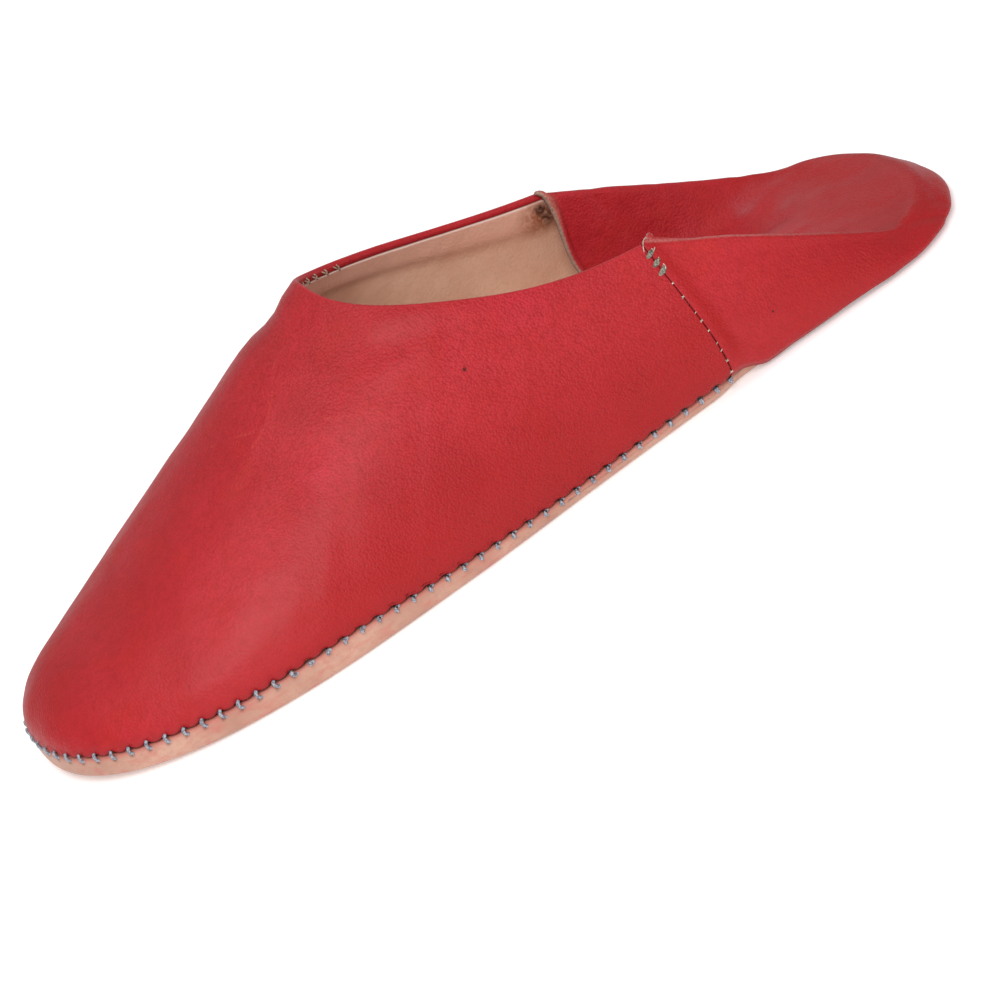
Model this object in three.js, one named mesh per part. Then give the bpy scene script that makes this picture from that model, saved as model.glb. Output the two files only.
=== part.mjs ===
// A leather babouche slipper for the right foot, with its back trodden down inside the heel.
// Millimetres. +Z is up, the toe points to -Y and +X is the medial side, the wearer's left.
// Plan points are (x, at): at is the distance from the tip of the toe along the shoe.
import * as THREE from 'three';

// Driving sizes of the last
const footLength = 266;
const toeSpring = 2;
const springLength = 60;
const toeTipOffset = 1.6;
const toeCapLength = 15;
const toeRound = { medial: { length: 76.7, power: 2.52 }, lateral: { length: 89.4, power: 2.28 } };
const heelRound = { length: 35.6, power: 2.21 };
const toeSection = { wide: 2.26, tall: 1.87 };
const bodySection = { wide: 1.75, tall: 1.72 };

// Half widths of the sole's edge, height of the line along the top of the last, height of the sole's rim.
// Behind the throat the top line is that of the last, which the open collar cuts through.
const sections = [
  { at: 0, medial: 46.5, lateral: 44.5, ridge: 19.0, rim: 6.3 },
  { at: 15, medial: 47.0, lateral: 45.0, ridge: 22.8, rim: 6.3 },
  { at: 40, medial: 48.0, lateral: 45.9, ridge: 33.2, rim: 6.4 },
  { at: 70, medial: 48.9, lateral: 47.6, ridge: 48.5, rim: 7.0 },
  { at: 107, medial: 47.5, lateral: 47.9, ridge: 67.0, rim: 4.9 },
  { at: 145, medial: 43.9, lateral: 45.7, ridge: 75.8, rim: 3.5 },
  { at: 185, medial: 40.9, lateral: 40.9, ridge: 76.4, rim: 3.5 },
  { at: 225, medial: 39.1, lateral: 37.3, ridge: 76.4, rim: 3.4 },
  { at: 266, medial: 38.5, lateral: 36.3, ridge: 76.4, rim: 3.4 },
];

// Collar and side seams
const throatAt = 111.5;
const collarHalfWidth = 32.9;
const collarPower = 2.55;
const seamTopAt = 183.2;
const seamFootAt = 185.4;
const seamGap = 0.5;

// Leather
const vampWall = 1.8;
const quarterWall = 1.3;
const bellyDepth = 2.3;
const bellyHeight = 30;
const gap = 0.3;

// Sole and insole
const soleThickness = 3;
const soleCorner = 2.6;
const rimWall = 2.4;
const heelTuck = { from: 179, to: 190, depth: 2.2 };
const insoleThickness = 1.5;
const insoleInset = 3.4;

// The folded back: height of its fold on either side, how far the fold stands in from the sole's edge, the
// fold's radius, the slope in degrees at which it hands over to the flap, and the run in which the flap levels out
const folds = [
  { at: 185, medial: 41.7, lateral: 41.2, inset: 8.0, radius: 1.6, slope: 90, run: 9 },
  { at: 206, medial: 29.0, lateral: 28.6, inset: 5.2, radius: 1.5, slope: 85, run: 12 },
  { at: 225, medial: 17.6, lateral: 18.0, inset: 3.6, radius: 1.4, slope: 70, run: 18 },
  { at: 235, medial: 12.0, lateral: 13.3, inset: 3.4, radius: 1.5, slope: 55, run: 21 },
  { at: 245, medial: 7.5, lateral: 10.2, inset: 3.2, radius: 2.1, slope: 34, run: 24 },
  { at: 255, medial: 7.0, lateral: 9.4, inset: 3.0, radius: 3.4, slope: 18, run: 26 },
  { at: 266, medial: 8.0, lateral: 8.0, inset: 3.0, radius: 4.6, slope: 14, run: 26 },
];
const flapHug = 0.75;
const flapRise = { height: 1.5, from: 215, length: 35, blend: 0.7 };
const quarterFeet = [
  { at: 185, height: 3.8, inset: 0 },
  { at: 188, height: 3.7, inset: 0.1 },
  { at: 191, height: 2.9, inset: 0.2 },
  { at: 196, height: 1.0, inset: 0.4 },
  { at: 266, height: 1.0, inset: 0.4 },
];
const flapEdge = { halfWidth: 16, depth: 2 };
const heelAxisEnd = footLength - 36;

// Mesh fineness
const sidePoints = 400;
const vampSteps = { side: 32, up: 12 };
const quarterSteps = { side: 20, outside: 7, fold: 4, inside: 6, floor: 3 };
const cornerSteps = 3;

// The middle of the finished shoe, which becomes the origin
const middle = { x: 0.33, at: 133.87 };

const smoothStep = (t) => {
  const c = Math.min(Math.max(t, 0), 1);
  return c * c * (3 - 2 * c);
};

const mix = (a, b, t) => a + (b - a) * t;

// A smooth curve through one column of a table, with no overshoot between its rows
function curveThrough(rows, column) {
  const xs = rows.map((row) => row.at);
  const ys = rows.map((row) => row[column]);
  const last = xs.length - 1;
  const steps = xs.slice(1).map((x, i) => x - xs[i]);
  const slopes = steps.map((step, i) => (ys[i + 1] - ys[i]) / step);
  const tangents = ys.map((y, i) => {
    if (i === 0) return slopes[0];
    if (i === last) return slopes[last - 1];
    if (slopes[i - 1] * slopes[i] <= 0) return 0;
    const before = 2 * steps[i] + steps[i - 1];
    const after = steps[i] + 2 * steps[i - 1];
    return (before + after) / (before / slopes[i - 1] + after / slopes[i]);
  });
  return (at) => {
    const x = Math.min(Math.max(at, xs[0]), xs[last]);
    let i = 0;
    while (i < last - 1 && x >= xs[i + 1]) i += 1;
    const t = (x - xs[i]) / steps[i];
    const rise = steps[i] * (t * (1 - t) ** 2 * tangents[i] + t * t * (t - 1) * tangents[i + 1]);
    return (1 + 2 * t) * (1 - t) ** 2 * ys[i] + t * t * (3 - 2 * t) * ys[i + 1] + rise;
  };
}

const tableWidth = {
  medial: curveThrough(sections, 'medial'),
  lateral: curveThrough(sections, 'lateral'),
};
const ridgeHeight = curveThrough(sections, 'ridge');
const rimHeight = curveThrough(sections, 'rim');
const foldHeight = {
  medial: curveThrough(folds, 'medial'),
  lateral: curveThrough(folds, 'lateral'),
};
const foldInset = curveThrough(folds, 'inset');
const foldRadius = curveThrough(folds, 'radius');
const foldSlope = curveThrough(folds, 'slope');
const flapRun = curveThrough(folds, 'run');
const quarterFootHeight = curveThrough(quarterFeet, 'height');
const quarterFootInset = curveThrough(quarterFeet, 'inset');

// A quarter of a superellipse, 0 at the end of the sole and 1 where the round of the toe or heel begins
const roundEnd = (distance, length, power) => {
  if (distance >= length) return 1;
  return Math.max(0, 1 - (1 - Math.max(distance, 0) / length) ** power) ** (1 / power);
};

const halfWidth = (at, side) => {
  const toe = roundEnd(at, toeRound[side].length, toeRound[side].power);
  const heel = roundEnd(footLength - at, heelRound.length, heelRound.power);
  return tableWidth[side](at) * toe * heel;
};

const axisX = (at) => toeTipOffset * (1 - smoothStep(at / springLength));
const springHeight = (at) => toeSpring * Math.max(0, 1 - at / springLength) ** 2;
const rimTop = (at) => springHeight(at) + rimHeight(at);

// Height of the last over a plan point: a superellipse across each section
function lastHeight(x, at) {
  const fromAxis = x - axisX(at);
  const width = Math.max(halfWidth(at, fromAxis >= 0 ? 'medial' : 'lateral'), 1e-6);
  const body = smoothStep((at - 20) / 80);
  const wide = mix(toeSection.wide, bodySection.wide, body);
  const tall = mix(toeSection.tall, bodySection.tall, body);
  const foot = rimTop(at) + gap;
  const crest = (ridgeHeight(at) - foot) * roundEnd(at, toeCapLength, 2.2);
  return foot + crest * Math.max(0, 1 - Math.abs(fromAxis / width) ** wide) ** (1 / tall);
}

// How far the soft wall bellies out over the edge of the sole
function belly(at, heightAboveFoot, wallHeight) {
  const reach = Math.min(bellyHeight, 0.9 * Math.max(wallHeight, 1e-6));
  const share = Math.min(Math.max(heightAboveFoot / reach, 0), 1);
  return bellyDepth * smoothStep((at - 20) / 80) * Math.sin(Math.PI * Math.sqrt(share));
}

// One side of the sole's edge, from one distance to another
function sideLine(from, to, side) {
  const sign = side === 'medial' ? 1 : -1;
  return Array.from({ length: sidePoints }, (_, i) => {
    const at = mix(from, to, (1 - Math.cos((Math.PI * i) / (sidePoints - 1))) / 2);
    return new THREE.Vector2(axisX(at) + sign * halfWidth(at, side), at);
  });
}

// The same line as a number of equal steps
function evenly(points, count) {
  const along = [0];
  points.slice(1).forEach((point, i) => along.push(along[i] + point.distanceTo(points[i])));
  const total = along[along.length - 1];
  let k = 0;
  return Array.from({ length: count + 1 }, (_, i) => {
    const target = (total * i) / count;
    while (k < points.length - 2 && along[k + 1] < target) k += 1;
    const span = along[k + 1] - along[k];
    const share = span > 0 ? Math.min((target - along[k]) / span, 1) : 0;
    return points[k].clone().lerp(points[k + 1], share);
  });
}

// The sole's edge in front of the seams, from the medial seam round the toe to the lateral one
function frontEdge(seamAt) {
  const medial = evenly(sideLine(0, seamAt, 'medial'), vampSteps.side).reverse();
  const lateral = evenly(sideLine(0, seamAt, 'lateral'), vampSteps.side);
  return [...medial, ...lateral.slice(1)];
}

// The sole's edge behind the seams, from the medial seam round the heel to the lateral one
function backEdge(seamAt) {
  const medial = evenly(sideLine(seamAt, footLength, 'medial'), quarterSteps.side);
  const lateral = evenly(sideLine(seamAt, footLength, 'lateral'), quarterSteps.side).reverse();
  return [...medial, ...lateral.slice(1)];
}

// The collar in plan, from the medial seam round the throat to the lateral one
function collarLine(count) {
  const half = Array.from({ length: sidePoints }, (_, i) => {
    const at = mix(throatAt, seamTopAt, 1 - Math.cos((Math.PI * i) / (2 * (sidePoints - 1))));
    const back = (seamTopAt - at) / (seamTopAt - throatAt);
    const x = collarHalfWidth * Math.max(0, 1 - back ** collarPower) ** (1 / collarPower);
    return new THREE.Vector2(x, at);
  });
  const medial = evenly(half, count / 2).reverse();
  const lateral = medial.slice(0, -1).reverse().map((point) => new THREE.Vector2(-point.x, point.y));
  return [...medial, ...lateral];
}

// Rows of points on the grain side of the vamp: rows run round the toe, columns up to the collar
function vampGrain() {
  const foot = frontEdge(seamFootAt);
  const collar = collarLine(2 * vampSteps.side);
  return foot.map((start, i) => {
    const end = collar[i];
    const outward = start.clone().sub(end).normalize();
    const footHeight = rimTop(start.y) + gap;
    const topHeight = lastHeight(end.x, end.y);
    return Array.from({ length: vampSteps.up + 1 }, (_, j) => {
      const v = j / vampSteps.up;
      const share = 0.75 * (1 - Math.cos((v * Math.PI) / 2)) + 0.25 * v * v;
      const plan = start.clone().lerp(end, share);
      const height = j === 0 ? footHeight : lastHeight(plan.x, plan.y);
      const out = belly(start.y, height - footHeight, topHeight - footHeight);
      plan.addScaledVector(outward, out);
      return new THREE.Vector3(plan.x, plan.y, height);
    });
  });
}

// Columns on the grain side of the folded back: up the outside, over the fold, down the inside, over the floor
function quarterGrain(floorHeight) {
  const foot = backEdge(seamFootAt + seamGap);
  const last = foot.length - 1;
  return foot.map((start, i) => {
    const axisPoint = new THREE.Vector2(0, Math.min(start.y, heelAxisEnd));
    const inward = axisPoint.clone().sub(start).normalize();
    const seamLean = (seamFootAt - seamTopAt) * (1 - smoothStep(Math.min(i, last - i) / 4));
    const across = (2 * i) / last - 1;
    const lowest = floorHeight + flapLift(start.y, across);
    const profile = quarterProfile(start, axisPoint, across < 0 ? 'medial' : 'lateral', lowest);
    const wall = profile.map(({ inset, height }) => {
      const plan = start.clone().addScaledVector(inward, inset);
      const lean = seamLean * Math.min(inset / foldInset(start.y), 1);
      return new THREE.Vector3(plan.x, plan.y - lean, height);
    });
    const edge = new THREE.Vector3(-across * flapEdge.halfWidth, 0, floorHeight);
    edge.y = seamTopAt + seamGap + flapEdge.depth * (1 - across * across) ** 2;
    const wallFoot = wall[wall.length - 1];
    const floor = Array.from({ length: quarterSteps.floor }, (_, j) => {
      return wallFoot.clone().lerp(edge, (j + 1) / quarterSteps.floor);
    });
    return [...wall, ...floor];
  });
}

// The flap lies on the insole, but stands clear of it at the lateral side of the heel
function flapLift(at, across) {
  const back = smoothStep((at - flapRise.from) / flapRise.length);
  return flapRise.height * back * smoothStep(across / flapRise.blend + 0.5);
}

// The back's wall at one place, as distances in from the sole's edge and heights
function quarterProfile(start, axisPoint, side, lowest) {
  const at = start.y;
  const footHeight = quarterFootHeight(at);
  const top = foldHeight[side](at);
  const inset = foldInset(at);
  const footInset = quarterFootInset(at);
  const reach = Math.max(start.distanceTo(axisPoint), 20);
  const { wide, tall } = bodySection;
  const scale = 1 - (1 - inset / reach) ** wide;
  const outside = Array.from({ length: quarterSteps.outside + 1 }, (_, j) => {
    const v = (j / quarterSteps.outside) ** 1.5;
    const rise = ((1 - (1 - (inset * v) / reach) ** wide) / scale) ** (1 / tall);
    const height = mix(footHeight, top, rise);
    const out = belly(at, height - footHeight, top - footHeight);
    return { inset: mix(footInset, inset, v) - out, height };
  });
  const [before, end] = outside.slice(-2);
  const climb = Math.atan2(end.height - before.height, end.inset - before.inset);
  const handover = -THREE.MathUtils.degToRad(foldSlope(at));
  const radius = foldRadius(at);
  const onFold = (angle) => ({
    inset: end.inset + radius * (Math.sin(climb) - Math.sin(angle)),
    height: end.height + radius * (Math.cos(angle) - Math.cos(climb)),
  });
  const fold = Array.from({ length: quarterSteps.fold }, (_, j) => {
    return onFold(mix(climb, handover, (j + 1) / quarterSteps.fold));
  });
  const lip = onFold(handover);
  const drop = lip.height - lowest;
  const reachDown = (flapHug * drop) / Math.sin(-handover);
  const run = flapRun(at);
  const curve = new THREE.CubicBezierCurve(
    new THREE.Vector2(lip.inset, lip.height),
    new THREE.Vector2(lip.inset + reachDown * Math.cos(handover), lip.height - flapHug * drop),
    new THREE.Vector2(lip.inset + run * (1 - flapHug), lowest),
    new THREE.Vector2(lip.inset + run, lowest),
  );
  const inside = Array.from({ length: quarterSteps.inside }, (_, j) => {
    const point = curve.getPoint((j + 1) / quarterSteps.inside);
    return { inset: point.x, height: point.y };
  });
  return [...outside, ...fold, ...inside];
}

// A closed sheet of leather under a grid of grain-side points
function leatherSheet(grain, thickness, grainFacesOut) {
  const rows = grain.length;
  const columns = grain[0].length;
  const turn = grainFacesOut ? 1 : -1;
  const flesh = grain.map((row, i) => row.map((point, j) => {
    const before = grain[Math.max(i - 1, 0)][j];
    const after = grain[Math.min(i + 1, rows - 1)][j];
    const below = row[Math.max(j - 1, 0)];
    const above = row[Math.min(j + 1, columns - 1)];
    const normal = after.clone().sub(before).cross(above.clone().sub(below)).multiplyScalar(turn);
    if (i === 0 || i === rows - 1) normal.y = 0;
    if (j === 0) normal.z = 0;
    normal.normalize();
    return point.clone().addScaledVector(normal, -thickness);
  }));
  const positions = [...grain.flat(), ...flesh.flat()];
  const index = (side, i, j) => side * rows * columns + i * columns + j;
  const faces = [];
  const quad = (a, b, c, d) => {
    if (grainFacesOut) faces.push(a, b, c, a, c, d);
    else faces.push(a, c, b, a, d, c);
  };
  for (let i = 0; i < rows - 1; i += 1) {
    for (let j = 0; j < columns - 1; j += 1) {
      quad(index(0, i, j), index(0, i + 1, j), index(0, i + 1, j + 1), index(0, i, j + 1));
      quad(index(1, i, j), index(1, i, j + 1), index(1, i + 1, j + 1), index(1, i + 1, j));
    }
    const top = columns - 1;
    quad(index(0, i, 0), index(1, i, 0), index(1, i + 1, 0), index(0, i + 1, 0));
    quad(index(0, i, top), index(0, i + 1, top), index(1, i + 1, top), index(1, i, top));
  }
  for (let j = 0; j < columns - 1; j += 1) {
    const end = rows - 1;
    quad(index(0, 0, j), index(0, 0, j + 1), index(1, 0, j + 1), index(1, 0, j));
    quad(index(0, end, j), index(1, end, j), index(1, end, j + 1), index(0, end, j + 1));
  }
  return meshGeometry(positions, faces);
}

function meshGeometry(positions, faces) {
  const geometry = new THREE.BufferGeometry();
  geometry.setAttribute('position', new THREE.Float32BufferAttribute(positions.flatMap((p) => [p.x, p.y, p.z]), 3));
  geometry.setIndex(faces);
  geometry.computeVertexNormals();
  return geometry;
}

// The whole edge of the sole: from the toe along the medial side to the heel and back along the lateral side
function soleEdge() {
  const front = frontEdge(seamFootAt);
  const back = backEdge(seamFootAt);
  const medialFront = front.slice(0, vampSteps.side + 1).reverse();
  const lateralFront = front.slice(vampSteps.side + 1, -1).reverse();
  return [...medialFront, ...back.slice(1), ...lateralFront];
}

// Plan points at a distance in from the sole's edge
function insetEdge(edge, distanceAt) {
  const count = edge.length;
  return edge.map((point, i) => {
    const along = edge[(i + 1) % count].clone().sub(edge[(i + count - 1) % count]).normalize();
    const inward = new THREE.Vector2(-along.y, along.x);
    return point.clone().addScaledVector(inward, distanceAt(point.y));
  });
}

// A closed slab from rings of equal count, listed from the underside round the edge to the upper side.
// The first and last rings are filled by rungs across the shoe, so that the faces follow the toe spring.
function ringSlab(rings) {
  const count = rings[0].length;
  const positions = rings.flat();
  const faces = [];
  rings.slice(1).forEach((_, k) => {
    for (let i = 0; i < count; i += 1) {
      const next = (i + 1) % count;
      const low = k * count;
      const high = low + count;
      faces.push(low + i, low + next, high + next, low + i, high + next, high + i);
    }
  });
  const rung = (a, b, c, up) => faces.push(a, up ? b : c, up ? c : b);
  [0, (rings.length - 1) * count].forEach((start, side) => {
    const up = side === 1;
    for (let i = 0; i < count / 2; i += 1) {
      const medial = start + i;
      const medialNext = start + i + 1;
      const lateral = start + ((count - i) % count);
      const lateralNext = start + count - i - 1;
      if (i > 0) rung(medial, medialNext, lateral, up);
      if (i < count / 2 - 1) rung(medialNext, lateralNext, lateral, up);
    }
  });
  return meshGeometry(positions, faces);
}

const lift = (plan, heightAt) => plan.map((p) => new THREE.Vector3(p.x, p.y, heightAt(p.y)));

// At the heel the sole's edge is tucked in under the red leather
const soleTuck = (at) => heelTuck.depth * smoothStep((at - heelTuck.from) / (heelTuck.to - heelTuck.from));

function outsoleGeometry() {
  const edge = soleEdge();
  const rings = [];
  for (let k = 0; k <= cornerSteps; k += 1) {
    const angle = (k / cornerSteps) * (Math.PI / 2);
    const inset = soleCorner * (1 - Math.sin(angle));
    const rise = soleCorner * (1 - Math.cos(angle));
    const plan = insetEdge(edge, (at) => soleTuck(at) + inset);
    rings.push(plan.map((p, i) => new THREE.Vector3(p.x, p.y, springHeight(edge[i].y) + rise)));
  }
  const outer = insetEdge(edge, soleTuck);
  const inner = insetEdge(edge, (at) => soleTuck(at) + rimWall);
  rings.push(outer.map((p, i) => new THREE.Vector3(p.x, p.y, rimTop(edge[i].y))));
  rings.push(inner.map((p, i) => new THREE.Vector3(p.x, p.y, rimTop(edge[i].y))));
  rings.push(lift(inner, (at) => springHeight(at) + soleThickness));
  return ringSlab(rings);
}

function insoleGeometry() {
  const plan = insetEdge(soleEdge(), (at) => soleTuck(at) + insoleInset);
  const underside = soleThickness + gap;
  return ringSlab([
    lift(plan, (at) => springHeight(at) + underside),
    lift(plan, (at) => springHeight(at) + underside + insoleThickness),
  ]);
}

// The grain side of the flap lies one wall above the insole
const flapFloor = soleThickness + gap + insoleThickness + gap + quarterWall;

const redLeather = { color: '#b5323a', roughness: 0.55, metalness: 0 };
const subParts = [
  { name: 'outsole', geometry: outsoleGeometry(), finish: { color: '#dba88e', roughness: 0.7, metalness: 0 } },
  { name: 'insole', geometry: insoleGeometry(), finish: { color: '#c9977c', roughness: 0.75, metalness: 0 } },
  { name: 'vamp', geometry: leatherSheet(vampGrain(), vampWall, false), finish: redLeather },
  { name: 'heel_quarter', geometry: leatherSheet(quarterGrain(flapFloor), quarterWall, true), finish: redLeather },
];

const group = new THREE.Group();
subParts.forEach(({ name, geometry, finish }) => {
  const mesh = new THREE.Mesh(geometry, new THREE.MeshStandardMaterial(finish));
  mesh.name = name;
  mesh.position.set(-middle.x, -middle.at, 0);
  group.add(mesh);
});

export default group;
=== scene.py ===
import bpy
import math
import random
import numpy as np
from mathutils import Matrix, Vector


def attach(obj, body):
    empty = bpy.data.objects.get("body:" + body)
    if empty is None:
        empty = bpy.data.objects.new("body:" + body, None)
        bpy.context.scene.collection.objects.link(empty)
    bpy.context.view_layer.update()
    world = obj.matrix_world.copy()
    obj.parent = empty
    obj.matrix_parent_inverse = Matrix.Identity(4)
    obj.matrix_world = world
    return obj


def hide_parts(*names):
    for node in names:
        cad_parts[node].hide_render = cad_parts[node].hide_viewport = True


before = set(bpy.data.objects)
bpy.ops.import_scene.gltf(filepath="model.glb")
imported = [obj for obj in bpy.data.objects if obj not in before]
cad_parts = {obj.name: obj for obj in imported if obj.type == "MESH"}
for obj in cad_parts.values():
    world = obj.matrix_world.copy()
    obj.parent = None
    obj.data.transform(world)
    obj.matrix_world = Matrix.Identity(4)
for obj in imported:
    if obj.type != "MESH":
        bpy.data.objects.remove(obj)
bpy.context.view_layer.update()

# All sizes of the shoe are in millimetres, and a table's "at" is the distance from the tip of the toe.
# Plan points are (x, at).
shoe = {
    "length": 266.0,
    "middleX": 0.33,        # the middle of the shoe, which is the origin
    "middleAt": 133.87,
    "toeSpring": 2.0,
    "springLength": 60.0,
    "toeTipOffset": 1.6,
    "toeCapLength": 15.0,
    "toeRound": {"medial": (76.7, 2.52), "lateral": (89.4, 2.28)},
    "heelRound": (35.6, 2.21),
    "toeSection": (2.26, 1.87),
    "bodySection": (1.75, 1.72),
    "throatAt": 111.5,
    "collarHalfWidth": 32.9,
    "collarPower": 2.55,
    "seamTopAt": 183.2,
    "seamFootAt": 185.4,
    "bellyDepth": 2.3,
    "bellyHeight": 30.0,
    "gap": 0.3,
    "toMetres": 0.001,
}

# Half widths of the sole's edge, height of the last's top line, height of the sole's rim
sections = {
    "at": [0, 15, 40, 70, 107, 145, 185, 225, 266],
    "medial": [46.5, 47.0, 48.0, 48.9, 47.5, 43.9, 40.9, 39.1, 38.5],
    "lateral": [44.5, 45.0, 45.9, 47.6, 47.9, 45.7, 40.9, 37.3, 36.3],
    "ridge": [19.0, 22.8, 33.2, 48.5, 67.0, 75.8, 76.4, 76.4, 76.4],
    "rim": [6.3, 6.3, 6.4, 7.0, 4.9, 3.5, 3.5, 3.4, 3.4],
}

# The folded back: its fold's height, inset and radius, and how the flap runs down from it
folds = {
    "at": [185, 206, 225, 235, 245, 255, 266],
    "medial": [41.7, 29.0, 17.6, 12.0, 7.5, 7.0, 8.0],
    "lateral": [41.2, 28.6, 18.0, 13.3, 10.2, 9.4, 8.0],
    "inset": [8.0, 5.2, 3.6, 3.4, 3.2, 3.0, 3.0],
    "radius": [1.6, 1.5, 1.4, 1.5, 2.1, 3.4, 4.6],
    "slope": [90, 85, 70, 55, 34, 18, 14],
    "run": [9, 12, 18, 21, 24, 26, 26],
}
quarterFeet = {
    "at": [185, 188, 191, 196, 266],
    "height": [3.8, 3.7, 2.9, 1.0, 1.0],
    "inset": [0, 0.1, 0.2, 0.4, 0.4],
}


# Small helpers

def smoothStep(t):
    c = np.clip(t, 0, 1)
    return c * c * (3 - 2 * c)


# 0 up to a start and 1 from a length past it, with a smooth rise between
def ramp(value, start, length):
    return smoothStep((value - start) / length)


def mix(a, b, t):
    return a + (b - a) * t


def unit(vectors):
    return vectors / np.maximum(np.linalg.norm(vectors, axis=-1, keepdims=True), 1e-9)


# A smooth curve through one column of a table, with no overshoot between its rows
def curveThrough(table, column):
    xs = np.array(table["at"], float)
    ys = np.array(table[column], float)
    steps = np.diff(xs)
    slopes = np.diff(ys) / steps
    tangents = np.zeros(len(xs))
    tangents[0], tangents[-1] = slopes[0], slopes[-1]
    for i in range(1, len(xs) - 1):
        if slopes[i - 1] * slopes[i] > 0:
            before = 2 * steps[i] + steps[i - 1]
            after = steps[i] + 2 * steps[i - 1]
            tangents[i] = (before + after) / (before / slopes[i - 1] + after / slopes[i])

    def curve(at):
        x = np.clip(at, xs[0], xs[-1])
        i = np.clip(np.searchsorted(xs, x, side="right") - 1, 0, len(xs) - 2)
        t = (x - xs[i]) / steps[i]
        rise = steps[i] * (t * (1 - t) ** 2 * tangents[i] + t * t * (t - 1) * tangents[i + 1])
        return (1 + 2 * t) * (1 - t) ** 2 * ys[i] + t * t * (3 - 2 * t) * ys[i + 1] + rise

    return curve


medialWidth = curveThrough(sections, "medial")
lateralWidth = curveThrough(sections, "lateral")
ridgeHeight = curveThrough(sections, "ridge")
rimHeight = curveThrough(sections, "rim")
foldTops = {1: curveThrough(folds, "medial"), -1: curveThrough(folds, "lateral")}
foldInset = curveThrough(folds, "inset")
foldRadius = curveThrough(folds, "radius")
foldSlope = curveThrough(folds, "slope")
flapRun = curveThrough(folds, "run")
quarterFootHeight = curveThrough(quarterFeet, "height")
quarterFootInset = curveThrough(quarterFeet, "inset")


# The shape of the last

def roundEnd(distance, length, power):
    short = np.clip(1 - distance / length, 0, 1)
    return np.maximum(0, 1 - short ** power) ** (1 / power)


def halfWidth(at, side):
    width = medialWidth(at) if side > 0 else lateralWidth(at)
    toe = roundEnd(at, *shoe["toeRound"]["medial" if side > 0 else "lateral"])
    heel = roundEnd(shoe["length"] - at, *shoe["heelRound"])
    return width * toe * heel


def axisX(at):
    return shoe["toeTipOffset"] * (1 - smoothStep(at / shoe["springLength"]))


def springHeight(at):
    return shoe["toeSpring"] * np.maximum(0, 1 - at / shoe["springLength"]) ** 2


def rimTop(at):
    return springHeight(at) + rimHeight(at)


def lastHeight(x, at):
    fromAxis = x - axisX(at)
    width = np.maximum(np.where(fromAxis >= 0, halfWidth(at, 1), halfWidth(at, -1)), 1e-6)
    body = ramp(at, 20, 80)
    wide = mix(shoe["toeSection"][0], shoe["bodySection"][0], body)
    tall = mix(shoe["toeSection"][1], shoe["bodySection"][1], body)
    foot = rimTop(at) + shoe["gap"]
    crest = (ridgeHeight(at) - foot) * roundEnd(at, shoe["toeCapLength"], 2.2)
    return foot + crest * np.maximum(0, 1 - np.abs(fromAxis / width) ** wide) ** (1 / tall)


def belly(at, heightAboveFoot, wallHeight):
    reach = np.minimum(shoe["bellyHeight"], 0.9 * np.maximum(wallHeight, 1e-6))
    share = np.clip(heightAboveFoot / reach, 0, 1)
    return shoe["bellyDepth"] * ramp(at, 20, 80) * np.sin(np.pi * np.sqrt(share))


def sideLine(start, end, side):
    t = np.linspace(0, 1, 3000)
    at = start + (end - start) * (1 - np.cos(np.pi * t)) / 2
    return np.stack([axisX(at) + side * halfWidth(at, side), at], -1)


# The same line, read by its share of the length
def evenLine(points):
    along = np.r_[0, np.cumsum(np.linalg.norm(np.diff(points, axis=0), axis=1))]

    def line(share):
        return np.stack([np.interp(share * along[-1], along, points[:, k]) for k in (0, 1)], -1)

    line.length = along[-1]
    return line


frontLines = {side: evenLine(sideLine(0, shoe["seamFootAt"], side)) for side in (1, -1)}
backLines = {side: evenLine(sideLine(shoe["seamFootAt"], shoe["length"], side)) for side in (1, -1)}


def collarHalf():
    t = np.linspace(0, 1, 3000)
    at = mix(shoe["throatAt"], shoe["seamTopAt"], 1 - np.cos(np.pi * t / 2))
    back = (shoe["seamTopAt"] - at) / (shoe["seamTopAt"] - shoe["throatAt"])
    power = shoe["collarPower"]
    x = shoe["collarHalfWidth"] * np.maximum(0, 1 - back ** power) ** (1 / power)
    return np.stack([x, at], -1)


collarLine = evenLine(collarHalf())


# The sole's edge in front of the seams: u is 1 at the medial seam, 0 at the toe, -1 at the lateral seam
def footPoint(u):
    medial = frontLines[1](np.clip(u, 0, 1))
    lateral = frontLines[-1](np.clip(-u, 0, 1))
    return np.where((u >= 0)[..., None], medial, lateral)


def collarPoint(u):
    point = collarLine(np.abs(u))
    return point * np.stack([np.where(u >= 0, 1.0, -1.0), np.ones_like(u)], -1)


# The sole's edge behind the seams: w is -1 at the medial seam, 0 at the heel, 1 at the lateral seam
def heelPoint(w):
    medial = backLines[1](np.clip(1 + w, 0, 1))
    lateral = backLines[-1](np.clip(1 - w, 0, 1))
    return np.where((w <= 0)[..., None], medial, lateral)


# The red leather's outside for columns u and rows v: rows run from the sole up to the collar
def vampSurface(u, v):
    start = footPoint(u)[None]
    end = collarPoint(u)[None]
    outward = unit(start - end)
    footHeight = rimTop(start[..., 1]) + shoe["gap"]
    topHeight = lastHeight(end[..., 0], end[..., 1])
    v = v[:, None]
    share = 0.75 * (1 - np.cos(v * np.pi / 2)) + 0.25 * v * v
    plan = start + (end - start) * share[..., None]
    height = np.where(v > 0, lastHeight(plan[..., 0], plan[..., 1]), footHeight)
    out = belly(start[..., 1], height - footHeight, topHeight - footHeight)
    plan = plan + outward * out[..., None]
    return np.concatenate([plan, height[..., None]], -1)


# Columns from one side seam to the other, with a few close together at both
def seamColumns(settings, line, clear):
    near = [1 - step / line.length for step in settings["seamSteps"]]
    even = np.linspace(-1, 1, settings["columns"])
    middle = even[np.abs(even) < near[-1] - clear]
    return np.concatenate([[-c for c in near], middle, near[::-1]])


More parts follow.
